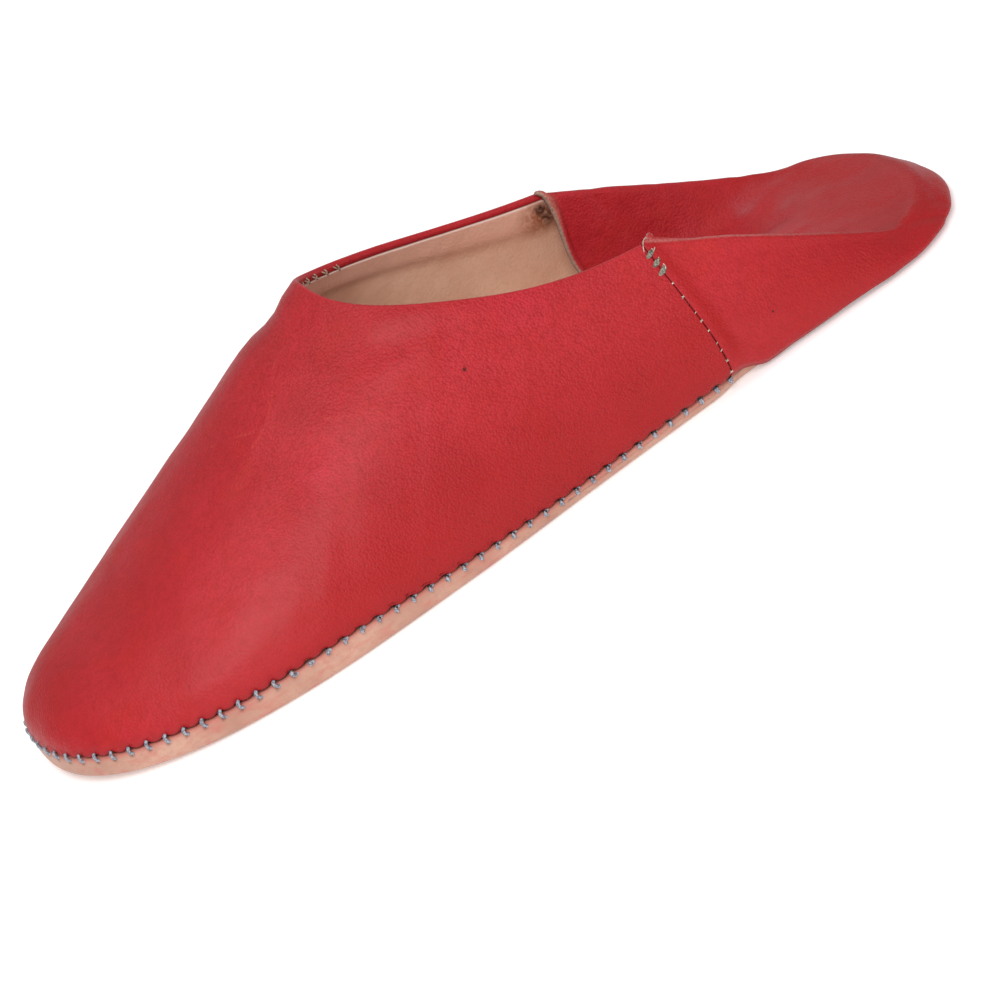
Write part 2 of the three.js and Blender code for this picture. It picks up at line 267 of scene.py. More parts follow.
# Distance of a grid's points from its first and last columns, which lie along the side seams
def seamDistance(points):
    ends = [np.linalg.norm(points - points[:, i][:, None], axis=-1) for i in (0, -1)]
    return np.minimum(*ends)


# Unit normals of a grid of points, by rows and columns
def surfaceNormals(points):
    return unit(np.cross(np.gradient(points, axis=1), np.gradient(points, axis=0)))


# Distance from each point to a line of straight stretches
def lineDistance(points, line):
    best = np.full(points.shape[:-1], 1e9)
    line = np.asarray(line, float)
    for a, b in zip(line[:-1], line[1:]):
        along = b - a
        share = np.clip(((points - a) @ along) / (along @ along), 0, 1)
        best = np.minimum(best, np.linalg.norm(points - (a + share[..., None] * along), axis=-1))
    return best


def bell(distance, width):
    return np.exp(-(distance / width) ** 2)


# How far a surface is drawn in near an edge so that the edge is round
def roundedIn(distance, radius):
    short = np.clip(1 - distance / radius, 0, 1)
    return radius * (1 - np.sqrt(1 - short ** 2))


# Soft troughs and ridges: each has a line, a width and a depth, which is negative for a ridge
def reliefDepth(points, marks):
    return sum(mark["depth"] * bell(lineDistance(points, mark["line"]), mark["width"]) for mark in marks)


def toMetres(points):
    place = np.array([shoe["middleX"], shoe["middleAt"], 0.0])
    return (points - place) * shoe["toMetres"]


# Meshes

# A grid primitive whose vertices are laid on the shoe, row by row
def gridPiece(name, points):
    rows, columns = points.shape[:2]
    bpy.ops.object.select_all(action="DESELECT")
    bpy.ops.mesh.primitive_grid_add(x_subdivisions=columns - 1, y_subdivisions=rows - 1, size=1)
    piece = bpy.context.object
    piece.name = name
    piece.data.name = name
    piece.location = (0, 0, 0)
    piece.data.vertices.foreach_set("co", toMetres(points).astype(np.float32).ravel())
    piece.data.update()
    return piece


def markPoints(piece, name, values):
    attribute = piece.data.attributes.new(name, "FLOAT", "POINT")
    attribute.data.foreach_set("value", np.asarray(np.clip(values, 0, 1), np.float32).ravel())


def selectOnly(piece):
    bpy.ops.object.select_all(action="DESELECT")
    bpy.context.view_layer.objects.active = piece
    piece.select_set(True)


# Merges doubled vertices, gives a sheet its thickness and shades it smooth
def finishMesh(piece, thickness=0, merge=0.00002):
    selectOnly(piece)
    bpy.ops.object.mode_set(mode="EDIT")
    bpy.ops.mesh.select_all(action="SELECT")
    bpy.ops.mesh.remove_doubles(threshold=merge)
    bpy.ops.object.mode_set(mode="OBJECT")
    if thickness:
        wall = piece.modifiers.new("wall", "SOLIDIFY")
        wall.thickness = thickness * shoe["toMetres"]
        wall.offset = -1
        bpy.ops.object.modifier_apply(modifier=wall.name)
    bpy.ops.object.shade_smooth()


def dress(piece, material, slotName, *nodes):
    piece.data.materials.clear()
    piece.data.materials.append(material)
    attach(piece, "root")
    if nodes:
        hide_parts(*nodes)


# Materials

# An sRGB hex colour as linear red, green, blue and alpha
def linear(hexColour):
    parts = [int(hexColour[i:i + 2], 16) / 255 for i in (1, 3, 5)]
    return [p / 12.92 if p <= 0.04045 else ((p + 0.055) / 1.055) ** 2.4 for p in parts] + [1.0]


# An input gets a value, or a link where it is given a socket
def fillInputs(tree, node, inputs):
    for key, value in inputs.items():
        if isinstance(value, bpy.types.NodeSocket):
            tree.links.new(value, node.inputs[key])
        else:
            node.inputs[key].default_value = value


# Adds a node with its settings and links, and gives one of its outputs
def addNode(tree, kind, inputs, output=0, **settings):
    node = tree.nodes.new("ShaderNode" + kind)
    for key, value in settings.items():
        setattr(node, key, value)
    fillInputs(tree, node, inputs)
    return node.outputs[output]


def newMaterial(name):
    material = bpy.data.materials.new(name)
    material.use_nodes = True
    tree = material.node_tree
    tree.nodes.clear()
    surface = addNode(tree, "BsdfPrincipled", {})
    tree.links.new(surface, tree.nodes.new("ShaderNodeOutputMaterial").inputs[0])
    place = addNode(tree, "TexCoord", {}, "Object")
    return material, tree, surface.node, place


# A pattern's scale from its real size
def perMetre(millimetres):
    return 1 / (millimetres * shoe["toMetres"])


# Soft patches of a real size: the noise between low and high becomes a share between least and most
def patches(tree, place, size, low, high, least=0.0, most=1.0, detail=3.0, distortion=0.0):
    cloud = addNode(tree, "TexNoise", {"Vector": place, "Scale": perMetre(size), "Detail": detail,
                                       "Distortion": distortion})
    return addNode(tree, "MapRange", {0: cloud, 1: low, 2: high, 3: least, 4: most})


# Lays a colour over the one below it, by a share and a strength
def lay(tree, below, hexColour, share, strength=1.0):
    cover = addNode(tree, "Math", {0: share, 1: strength}, operation="MULTIPLY")
    return addNode(tree, "Mix", {0: cover, 6: below, 7: linear(hexColour)}, 2, data_type="RGBA")


# 1 along a line of points in the shoe's millimetres, fading to 0 at its width
def lineMark(tree, place, line, width):
    nearest = None
    corners = [Vector(toMetres(np.array(point, float))) for point in line]
    for a, b in zip(corners[:-1], corners[1:]):
        along = b - a
        offset = addNode(tree, "VectorMath", {0: place, 1: a}, operation="SUBTRACT")
        scaled = along / along.length_squared
        share = addNode(tree, "VectorMath", {0: offset, 1: scaled}, 1, operation="DOT_PRODUCT")
        share = addNode(tree, "MapRange", {0: share, 1: 0.0, 2: 1.0, 3: 0.0, 4: 1.0})
        foot = addNode(tree, "VectorMath", {0: along, 3: share}, operation="SCALE")
        away = addNode(tree, "VectorMath", {0: offset, 1: foot}, 1, operation="DISTANCE")
        if nearest is not None:
            away = addNode(tree, "Math", {0: nearest, 1: away}, operation="MINIMUM")
        nearest = away
    half = width * shoe["toMetres"]
    return addNode(tree, "MapRange", {0: nearest, 1: 0.25 * half, 2: half, 3: 1.0, 4: 0.0})


# 1 inside a ball round a point, fading to 0 over the blurred share of its radius
def spotMark(tree, place, centre, radius, blur=0.6):
    middle = Vector(toMetres(np.array(centre, float)))
    away = addNode(tree, "VectorMath", {0: place, 1: middle}, 1, operation="DISTANCE")
    size = radius * shoe["toMetres"]
    return addNode(tree, "MapRange", {0: away, 1: size * (1 - blur), 2: size, 3: 1.0, 4: 0.0})


# The leather's marks, in the shoe's millimetres (x, at, height): the veins and the rose spots are its own
# colour, while the darker spots and the dark of the holes are painted shade
redMarks = {
    "veins": [
        [(7.3, 72.6, 49.2), (14.6, 78.9, 50.3), (21.1, 86.0, 50.3), (29.0, 96.8, 47.7), (34.0, 107.9, 43.8)],
        [(10.0, 96.1, 60.4), (13.3, 92.5, 57.4), (16.4, 89.4, 54.5), (19.0, 84.6, 51.0), (19.6, 79.2, 48.2)],
    ],
    "veinWidth": 0.6,
    "holes": [((35.6, 129.7, 41.8), 0.75), ((31.3, 126.0, 50.2), 0.4), ((40.8, 202.2, 11.9), 0.42)],
    "rose": [((34.4, 88.3, 39.6), 9.0), ((30.0, 150.0, 46.0), 10.0)],
    # darker spots, mostly low near the sole and at the back: painted shade
    "deepToneAndShade": [((44.6, 112.3, 22.5), 11.0), ((24.0, 92.0, 52.0), 9.0), ((43.0, 165.0, 12.0), 16.0),
             ((36.0, 232.0, 8.0), 20.0), ((26.0, 254.0, 6.0), 16.0)],
}
# Painted light in this table: the shade colour, the two darker reds laid low down and near the seams, and the
# near-black spot colour are painted shade; the pale pink of the fold's crest is partly a painted highlight;
# the grey-pink streak colour is partly a painted sheen
redLeather = {
    "light": "#B7272F", "middle": "#AB1F26", "orange": "#B4241C", "shade": "#6E1216", "vein": "#C03A34",
    "rose": "#C02336", "deepToneAndShade": "#96171C", "shadeBand": "#A00D0D", "wearAndHighlight": "#C98F88", "bloomAndSheen": "#A4585C",
    "flesh": "#C98A78", "cut": "#A08A7C", "holeShade": "#3A0A0C",
    "wrinkle": 4.5, "wrinkleDepth": 0.22, "pebble": 0.66, "pebbleDepth": 0.336,
    "pore": 0.4, "poreDepth": 0.04,
    "specular": 0.21, "coat": 0.11, "coatRoughness": 0.26,
}
# Size in millimetres, the two levels of the noise, the least and the most share, detail and distortion
redPatches = {
    "middle": (26.0, 0.36, 0.64),
    "orange": (9.0, 0.5, 0.72, 0.0, 0.55, 5.0),
    "mottle": (2.2, 0.4, 0.7, 0.0, 0.35, 4.0),
    "streaks": (5.0, 0.38, 0.68, 0.25, 1.0, 4.0, 0.4),
    "veins": (7.0, 0.35, 0.6, 0.0, 0.6),
    "grain": (14.0, 0.35, 0.65, 0.6, 1.0),
    "roughness": (9.0, 0.2, 0.8, 0.46, 0.6, 5.0),
}


def makeRedLeather():
    # goatskin, drum dyed red and waxed: even red with soft clouds, and a fine pebble grain that glints
    material, tree, shader, place = newMaterial("dyed_goatskin_red")
    s = redLeather
    marks = {}
    for mark in ("shade", "shadeBand", "wearAndHighlight", "smooth", "bloomAndSheen", "flesh", "cut"):
        marks[mark] = addNode(tree, "Attribute", {}, "Fac", attribute_name=mark)
    colour = lay(tree, linear(s["light"]), s["middle"], patches(tree, place, *redPatches["middle"]))
    colour = lay(tree, colour, s["orange"], patches(tree, place, *redPatches["orange"]))
    # the rose spots are the leather's own colour, and the darker spots are painted shade
    for name, blur, strength in (("rose", 0.9, 0.7), ("deepToneAndShade", 0.95, 0.6)):
        for centre, radius in redMarks[name]:
            colour = lay(tree, colour, s[name], spotMark(tree, place, centre, radius, blur), strength)
    colour = lay(tree, colour, s["deepToneAndShade"], patches(tree, place, *redPatches["mottle"]))
    # paler grey-pink streaks along the tread on the trodden flap: partly scuffs, partly painted sheen
    tread = addNode(tree, "Mapping", {"Vector": place, "Rotation": (0, 0, 0.6), "Scale": (1.0, 0.28, 1.0)})
    colour = lay(tree, colour, s["bloomAndSheen"], marks["bloomAndSheen"], patches(tree, tread, *redPatches["streaks"]))
    # a darker, deeper red low down and near the seams: painted shade
    colour = lay(tree, colour, s["shadeBand"], marks["shadeBand"])
    for line in redMarks["veins"]:
        broken = patches(tree, place, *redPatches["veins"])
        colour = lay(tree, colour, s["vein"], lineMark(tree, place, line, redMarks["veinWidth"]), broken)
    for mark in ("wearAndHighlight", "flesh", "cut", "shade"):
        colour = lay(tree, colour, s[mark], marks[mark])
    # small holes in the grain are near-black spots of colour: painted shade
    for centre, radius in redMarks["holes"]:
        colour = lay(tree, colour, s["holeShade"], spotMark(tree, place, centre, radius))
    pebble = addNode(tree, "TexVoronoi", {"Vector": place, "Scale": perMetre(s["pebble"]), "Smoothness": 0.2,
                                          "Randomness": 0.9}, "Distance", feature="SMOOTH_F1")
    raised = addNode(tree, "Math", {0: 1.0, 1: marks["smooth"]}, operation="SUBTRACT")
    uneven = patches(tree, place, *redPatches["grain"])
    grain = addNode(tree, "Math", {0: pebble, 1: uneven}, operation="MULTIPLY")
    grain = addNode(tree, "Math", {0: grain, 1: raised}, operation="MULTIPLY")
    # the valleys between the pebbles are darker: painted shade
    valleyShade = addNode(tree, "MapRange", {0: pebble, 1: 0.35, 2: 0.75, 3: 0.0, 4: 0.5})
    colour = lay(tree, colour, s["deepToneAndShade"], valleyShade, raised)
    wrinkle = addNode(tree, "TexNoise", {"Vector": place, "Scale": perMetre(s["wrinkle"]), "Detail": 5.0,
                                         "Distortion": 0.8})
    pore = addNode(tree, "TexNoise", {"Vector": place, "Scale": perMetre(s["pore"]), "Detail": 3.0})
    low = addNode(tree, "Bump", {"Height": wrinkle, "Strength": 1.0,
                                 "Distance": s["wrinkleDepth"] * shoe["toMetres"]})
    mid = addNode(tree, "Bump", {"Height": grain, "Normal": low, "Strength": 1.0,
                                 "Distance": -s["pebbleDepth"] * shoe["toMetres"]})
    fine = addNode(tree, "Bump", {"Height": pore, "Normal": mid, "Strength": 0.8,
                                  "Distance": s["poreDepth"] * shoe["toMetres"]})
    roughness = patches(tree, place, *redPatches["roughness"])
    fillInputs(tree, shader, {"Base Color": colour, "Normal": fine, "Roughness": roughness,
                              "Coat Weight": s["coat"], "Coat Roughness": s["coatRoughness"],
                              "Specular IOR Level": s["specular"], "IOR": 1.5})
    return material


# The rim colour is a painted highlight along the lining's top edge, and the darkest colour is partly staining
# and partly painted shade in pockets and stitch pits
tanLeather = {
    "lining": "#F6CDB0", "liningDark": "#EBB99B", "liningShade": "#C08468", "pink": "#F3BCA8",
    "rim": "#EFD6CF", "stainAndShade": "#2E1A14", "glue": "#A0592F", "sole": "#C59A87", "soleDark": "#AE806E",
    "dye": "#BE6A60", "pore": "#B57C6C", "insole": "#CDA084", "insoleDark": "#B27F66",
    "finePore": 0.4, "finePoreDepth": 0.05, "grainDepth": 0.1, "poreSpacing": 0.9,
}
tanPatches = {
    "cloud": (15.0, 0.35, 0.7, 0.0, 1.0, 4.0),
    "mottle": (1.6, 0.5, 0.75, 0.0, 0.5, 4.0),
    "pores": (4.0, 0.4, 0.62, 0.0, 0.56),
    "scuffs": (3.2, 0.5, 0.72, 0.0, 0.64, 6.0, 0.5),
}
# Colour, place, radius and strength of each dark spot at the seams' tops: glue darkens them, and the darkest
# spots in the pocket between lining and flap are partly painted shade
liningStains = [
    ("glue", (-32.6, 181.4, 36.0), 8.0, 1.0), ("stainAndShade", (-32.6, 182.6, 33.6), 2.4, 1.0),
    ("stainAndShade", (-32.4, 182.4, 36.0), 2.2, 1.0), ("stainAndShade", (-32.0, 181.6, 38.2), 2.4, 1.0),
    ("glue", (33.0, 181.5, 35.0), 5.0, 0.6),
]


def makeTanLeather(name, colours, grain, roughness, marks, stains=(), porous=False):
    # undyed vegetable-tanned leather: pinkish tan, matt, slightly cloudy, darker where it was handled
    material, tree, shader, place = newMaterial(name)
    s = tanLeather
    light, dark = colours
    colour = lay(tree, linear(s[light]), s[dark], patches(tree, place, *tanPatches["cloud"]))
    colour = lay(tree, colour, s[dark], patches(tree, place, *tanPatches["mottle"]))
    if porous:
        dots = addNode(tree, "TexVoronoi", {"Vector": place, "Scale": perMetre(s["poreSpacing"])}, "Distance")
        dots = addNode(tree, "MapRange", {0: dots, 1: 0.1, 2: 0.42, 3: 1.0, 4: 0.0})
        colour = lay(tree, colour, s["pore"], dots, patches(tree, place, *tanPatches["pores"]))
        scuffed = addNode(tree, "Mapping", {"Vector": place, "Scale": (1.0, 0.5, 1.5)})
        colour = lay(tree, colour, s["dye"], patches(tree, scuffed, *tanPatches["scuffs"]))
    for mark, markColour in marks.items():
        share = addNode(tree, "Attribute", {}, "Fac", attribute_name=mark)
        colour = lay(tree, colour, s[markColour], share)
    for stainAndShade, centre, radius, strength in stains:
        broken = patches(tree, place, 1.8, 0.3, 0.6, 0.3 * strength, strength, 4.0, 1.0)
        colour = lay(tree, colour, s[stainAndShade], spotMark(tree, place, centre, radius, 0.8), broken)
    pebble = addNode(tree, "TexVoronoi", {"Vector": place, "Scale": perMetre(grain)}, "Distance")
    pore = addNode(tree, "TexNoise", {"Vector": place, "Scale": perMetre(s["finePore"]), "Detail": 3.0})
    mid = addNode(tree, "Bump", {"Height": pebble, "Strength": 0.6,
                                 "Distance": -s["grainDepth"] * shoe["toMetres"]})
    fine = addNode(tree, "Bump", {"Height": pore, "Normal": mid, "Strength": 0.7,
                                  "Distance": s["finePoreDepth"] * shoe["toMetres"]})
    fillInputs(tree, shader, {"Base Color": colour, "Normal": fine, "Roughness": roughness,
                              "Specular IOR Level": 0.3, "Sheen Weight": 0.08, "IOR": 1.45})
    return material


# The lighter and the darker colour of each thread
threadColours = {
    "waxed_thread_grey_blue": ("#A9ADB8", "#62656F"),
    "linen_thread_off_white": ("#D8CFC0", "#8E8A78"),
    "linen_thread_taupe": ("#B39A86", "#6F5A4C"),
    "linen_thread_grey_olive": ("#8E8A78", "#4F4A40"),
    "waxed_thread_shadowed": ("#3A3234", "#1C1416"),
}


def makeThread(name, light, dark):
    # waxed sewing thread: fine twisted plies, lighter and darker, slightly shiny
    material, tree, shader, place = newMaterial(name)
    ply = addNode(tree, "TexNoise", {"Vector": place, "Scale": perMetre(0.45), "Detail": 3.0})
    share = addNode(tree, "MapRange", {0: ply, 1: 0.38, 2: 0.62, 3: 0.0, 4: 1.0})
    bump = addNode(tree, "Bump", {"Height": ply, "Distance": 0.0001, "Strength": 0.8})
    fillInputs(tree, shader, {"Base Color": lay(tree, linear(light), dark, share), "Normal": bump,
                              "Roughness": 0.5})
    return material


# Camera, light and floor

photoView = {
    "azimuth": 78.192, "elevation": 24.783, "roll": -28.952,
    "target": (13.37, -7.36, -1.95),   # the point at the middle of the picture, in the part's frame
    "distance": 971.4, "focalPixels": 3959.5, "pictureWidth": 1000, "sensor": 36.0,
}


def makeCamera():
    azimuth, elevation, roll = (math.radians(photoView[k]) for k in ("azimuth", "elevation", "roll"))
    back = Vector((math.sin(azimuth) * math.cos(elevation), -math.cos(azimuth) * math.cos(elevation),
                   math.sin(elevation)))
    right = Vector((math.cos(azimuth), math.sin(azimuth), 0))
    up = back.cross(right)
    pictureRight = right * math.cos(roll) + up * math.sin(roll)
    pictureUp = up * math.cos(roll) - right * math.sin(roll)
    place = (Vector(photoView["target"]) + back * photoView["distance"]) * shoe["toMetres"]
    bpy.ops.object.camera_add(location=place)
    camera = bpy.context.object
    camera.name = "photo_camera"
    turn = Matrix((pictureRight, pictureUp, back)).transposed()
    camera.rotation_euler = turn.to_euler()
    camera.data.sensor_width = photoView["sensor"]
    camera.data.lens = photoView["focalPixels"] * photoView["sensor"] / photoView["pictureWidth"]
    camera.data.clip_start = 0.01
    camera.data.clip_end = 20
    bpy.context.scene.camera = camera


studio = {
    "worldLight": 0.38, "floorSize": 8.0, "floorColour": "#F8F8F8", "floorGlow": 0.3,
    "lights": [
        {"name": "front_softbox", "place": (1.3, -0.4, 1.25), "size": 1.0, "power": 20},
        {"name": "low_softbox", "place": (1.6, -0.3, 0.4), "size": 0.9, "power": 3.5},
        {"name": "top_softbox", "place": (0.2, -0.6, 1.9), "size": 1.2, "power": 8},
        {"name": "far_softbox", "place": (-1.3, 0.6, 1.1), "size": 1.0, "power": 3},
    ],
}


def makeStudio():
    world = bpy.data.worlds.new("studio")
    bpy.context.scene.world = world
    world.use_nodes = True
    background = world.node_tree.nodes["Background"]
    background.inputs[0].default_value = linear("#FFFFFF")
    background.inputs[1].default_value = studio["worldLight"]
    for light in studio["lights"]:
        bpy.ops.object.light_add(type="AREA", location=light["place"])
        lamp = bpy.context.object
        lamp.name = light["name"]
        lamp.data.size = light["size"]
        lamp.data.energy = light["power"]
        aim = Vector((0, 0, 0.02)) - Vector(light["place"])
        lamp.rotation_euler = aim.to_track_quat("-Z", "Y").to_euler()
    bpy.ops.mesh.primitive_plane_add(size=studio["floorSize"])
    floor = bpy.context.object
    floor.name = "floor"
    material, tree, shader = newMaterial("pale_paper")[:3]
    fillInputs(tree, shader, {"Base Color": linear(studio["floorColour"]), "Roughness": 0.9,
                              "Emission Color": linear(studio["floorColour"]),
                              "Emission Strength": studio["floorGlow"]})
    floor.data.materials.append(material)


bpy.context.scene.view_settings.view_transform = "Standard"
makeCamera()
makeStudio()
print("camera, lights and floor are in place")

redMaterial = makeRedLeather()
liningMaterial = makeTanLeather("sheepskin_lining_tan", ("lining", "liningDark"), grain=0.8, roughness=0.62,
                                marks={"pink": "pink", "shade": "liningShade", "rim": "rim", "pitShade": "stainAndShade"},
                                stains=liningStains)
soleMaterial = makeTanLeather("vegetable_tanned_sole", ("sole", "soleDark"), grain=1.3, roughness=0.55,
                              marks={"dye": "dye", "pitShade": "stainAndShade"}, porous=True)
insoleMaterial = makeTanLeather("vegetable_tanned_insole", ("insole", "insoleDark"), grain=1.1,
                                roughness=0.65, marks={})
threadMaterials = {name: makeThread(name, *colours) for name, colours in threadColours.items()}
print("materials are made")

# Stitches along the sole

soleStitch = {
    "spacing": 4.8, "up": 0.75, "down": 0.9, "slant": 0.0,
    "ply": 0.74, "plySpread": 0.24,
    "profile": [(0.0, 0.06), (0.3, 0.16), (0.6, 0.1), (0.85, -0.06), (1.0, -0.4)],    # share of run, height
    "sink": 0.5, "topTail": 0.45, "footSink": 0.6, "footTail": 0.1, "farSide": 0.3,
    "shortFrom": 48, "shortTo": 68, "shortDown": 0.0, "shortUp": 0.2,
    "pull": 0.4, "pullReach": 2.4,
    "raise": 0.4, "lower": 0.26, "raiseReach": 1.5, "calmRaise": 0.3, "calmFrom": 58, "calmLength": 45,
    "dashFrom": 80, "dashLength": 1.4, "dashDiameter": 0.55, "dashEnds": 0.1, "dashMiddle": 0.08,
}
stitchCount = {side: int(round(frontLines[side].length / soleStitch["spacing"])) for side in (1, -1)}


# 1 at each stitch of the sole seam and 0 half way between two
def stitchPull(u):
    count = np.where(u >= 0, stitchCount[1], stitchCount[-1])
    return np.abs(np.cos(np.pi * np.abs(u) * count)) ** 4


# 1 where the stitches lie open over the rim at the toe, 0 where only their tops show
def openStitches(at):
    return 1 - ramp(at, soleStitch["shortFrom"], soleStitch["shortTo"] - soleStitch["shortFrom"])


# Vamp

vamp = {
    "columns": 520, "rows": 62, "thickness": 0.9,
    "footRound": 1.2, "footTurn": 2.0, "footCalm": 6, "collarCalm": 5,
    "seamRound": 0.36, "seamSteps": [0.0, 0.12, 0.28, 0.5, 0.9],
    "collarRound": 1.0, "arcSteps": 7, "throatTurn": 1.1, "seamTurn": 0.3,
    "lipDepth": 1.7, "lipAt": 11.0, "lipWidth": 5.5, "lipReach": 0.5,
    "lipRise": 0.6, "riseAt": 1.5, "riseWidth": 3.0,
    "unevenDepth": 0.16, "unevenSize": 21,
    "edgeShade": 0.85, "footShadeWidth": 0.7, "seamShadeWidth": 0.22,
    "softShade": 0.25, "softShadeWidth": 2.2,
    "shadeBandAtToe": 0.25, "shadeBandAtHeel": 0.76, "shadeBandWidth": 30, "smoothAtToe": 0.5,
}
vampCreases = [
    {"line": [(26.2, 113.9, 54.6), (28.0, 120.6, 53.5), (29.4, 128.1, 52.3), (32.3, 132.8, 47.7),
              (33.7, 136.6, 45.0), (34.2, 141.5, 43.6), (34.3, 146.6, 42.7)], "width": 2.4, "depth": 0.34},
    {"line": [(24.4, 68.6, 41.4), (23.6, 76.5, 44.9), (26.2, 83.0, 45.6)], "width": 3.4, "depth": 0.3},
    {"line": [(35.3, 166.6, 37.3), (36.2, 154.3, 37.0), (37.2, 142.0, 36.7)], "width": 3.2, "depth": 0.26},
    {"line": [(43.7, 159.7, 9.3), (42.9, 175.9, 5.4)], "width": 3.2, "depth": 0.4},
    {"line": [(1.6, 105.9, 66.6), (7.9, 107.2, 65.5), (16.4, 110.7, 62.2)], "width": 2.2, "depth": 0.3},
    {"line": [(10.0, 96.1, 60.4), (16.4, 89.4, 54.5), (19.0, 84.6, 51.0), (19.6, 79.2, 48.2)],
     "width": 1.6, "depth": -0.16},
    {"line": [(7.3, 72.6, 49.2), (21.1, 86.0, 50.3), (29.0, 96.8, 47.7), (34.0, 107.9, 43.8)],
     "width": 1.7, "depth": -0.18},
    {"line": [(-26.0, 112.0, 54.5), (-29.0, 126.0, 51.5), (-33.0, 140.0, 44.5)], "width": 2.6, "depth": 0.32},
    {"line": [(-35.0, 166.0, 37.3), (-37.0, 146.0, 36.8)], "width": 3.2, "depth": 0.26},
    {"line": [(-22.0, 70.0, 42.0), (-25.0, 84.0, 45.6)], "width": 3.4, "depth": 0.28},
]


# Rows up the vamp, closer together at the sole and the collar
def vampRowShares():
    t = np.linspace(0, 1, vamp["rows"])
    return mix(t ** 1.7, t, 0.3)


# A slow unevenness, the same at every build
def unevenness(points, size):
    waves = [(1.0, 0.0, 0.6, 0.4), (0.3, 0.9, -0.4, 1.9), (-0.7, 0.5, 0.8, 3.1), (0.5, -0.8, 0.9, 4.6)]
    total = 0
    for i, (a, b, c, phase) in enumerate(waves):
        along = (a * points[..., 0] + b * points[..., 1] + c * points[..., 2]) * (1 + 0.35 * i)
        total = total + np.sin(along * 2 * np.pi / size + phase + 1.3 * np.sin(along * 2.3 / size + i))
    return total / len(waves)


# The throat's rolled lip and the slight hollow below it
def throatHollow(fromTop, u):
    hollow = vamp["lipDepth"] * bell(fromTop - vamp["lipAt"], vamp["lipWidth"])
    lip = vamp["lipRise"] * bell(fromTop - vamp["riseAt"], vamp["riseWidth"])
    return (hollow - lip) * (1 - smoothStep(np.abs(u)[None] / vamp["lipReach"]))


# The red leather's outside, before its edges are turned in
def vampOutside():
    u = seamColumns(vamp, frontLines[1], 0.002)
    points = vampSurface(u, vampRowShares())
    normals = surfaceNormals(points)
    fromFoot = np.linalg.norm(points - points[:1], axis=-1)
    fromTop = np.linalg.norm(points - points[-1:], axis=-1)
    fromSeam = seamDistance(points)
    pull = stitchPull(u)[None]
    drawn = roundedIn(fromFoot, vamp["footRound"]) + roundedIn(fromSeam, vamp["seamRound"])
    drawn = drawn + pull * bell(fromFoot, soleStitch["pullReach"]) * soleStitch["pull"]
    drawn = drawn + throatHollow(fromTop, u)
    calm = smoothStep(fromFoot / vamp["footCalm"]) * smoothStep(fromTop / vamp["collarCalm"])
    uneven = vamp["unevenDepth"] * unevenness(points, vamp["unevenSize"])
    drawn = drawn + (reliefDepth(points, vampCreases) + uneven) * calm
    outside = points - normals * drawn[..., None]
    # the leather's foot is scalloped: raised at each stitch, most of all at the toe, and lower between two
    towardsToe = 1 - ramp(footPoint(u)[:, 1], soleStitch["calmFrom"], soleStitch["calmLength"])
    strong = mix(soleStitch["calmRaise"], 1, towardsToe)[None]
    scallop = mix(-soleStitch["lower"], soleStitch["raise"] * strong, pull)
    outside[..., 2] += scallop * bell(fromFoot, soleStitch["raiseReach"])
    return u, outside, normals, fromFoot, fromSeam


# A field over the outside, carried on over the rows turned in at the sole and at the collar
def withTurned(field, low, high, before, after):
    return np.concatenate([np.tile(field[:1] * 0 + low, (before, 1)), field,
                           np.tile(field[:1] * 0 + high, (after, 1))])


def collarTurn(u):
    return mix(vamp["throatTurn"], vamp["seamTurn"], smoothStep(np.abs(u)))


def makeVamp():
    u, outside, normals, fromFoot, fromSeam = vampOutside()
    # the foot is turned in under the vamp
    inward = unit(collarPoint(u) - footPoint(u))
    foot = outside[0]
    turnSteps = np.linspace(vamp["footTurn"], 0.4, 4)
    turned = np.stack([foot + np.c_[inward * step, np.full(len(u), 0.05 * step)] for step in turnSteps])
    # the collar is rolled over and runs a little way down inside
    top, normal = outside[-1], normals[-1]
    rising = unit(outside[-1] - outside[-3])
    radius = vamp["collarRound"]
    angles = np.linspace(0, np.pi, vamp["arcSteps"] + 1)[1:]
    arc = np.stack([top + radius * (normal * (math.cos(a) - 1) + rising * math.sin(a)) for a in angles])
    downs = np.linspace(0, 1, 5)[1:]
    down = np.stack([arc[-1] - rising * (collarTurn(u) * d)[:, None] for d in downs])
    points = np.concatenate([turned, outside, arc, down])
    piece = gridPiece("vamp_leather", points)
    counts = (len(turned), len(arc) + len(down))
    edges = bell(fromFoot, vamp["footShadeWidth"]) + bell(fromSeam, vamp["seamShadeWidth"])
    shade = vamp["edgeShade"] * edges + vamp["softShade"] * bell(fromFoot, vamp["softShadeWidth"])
    markPoints(piece, "shade", withTurned(shade, 1, 0, *counts))
    # darker towards the sole, more so towards the heel: painted shade
    shadeBand = mix(vamp["shadeBandAtToe"], vamp["shadeBandAtHeel"], ramp(outside[..., 1], 20, 70))
    markPoints(piece, "shadeBand", withTurned(shadeBand * bell(fromFoot, vamp["shadeBandWidth"]), 0, 0, *counts))
    smooth = mix(vamp["smoothAtToe"], 0.0, ramp(outside[..., 1], 40, 60))
    markPoints(piece, "smooth", withTurned(smooth, 0.7, 0.6, *counts))
    finishMesh(piece, vamp["thickness"])
    dress(piece, redMaterial, "upper_leather", "vamp")


makeVamp()
print("vamp is made")

# Lining of the vamp

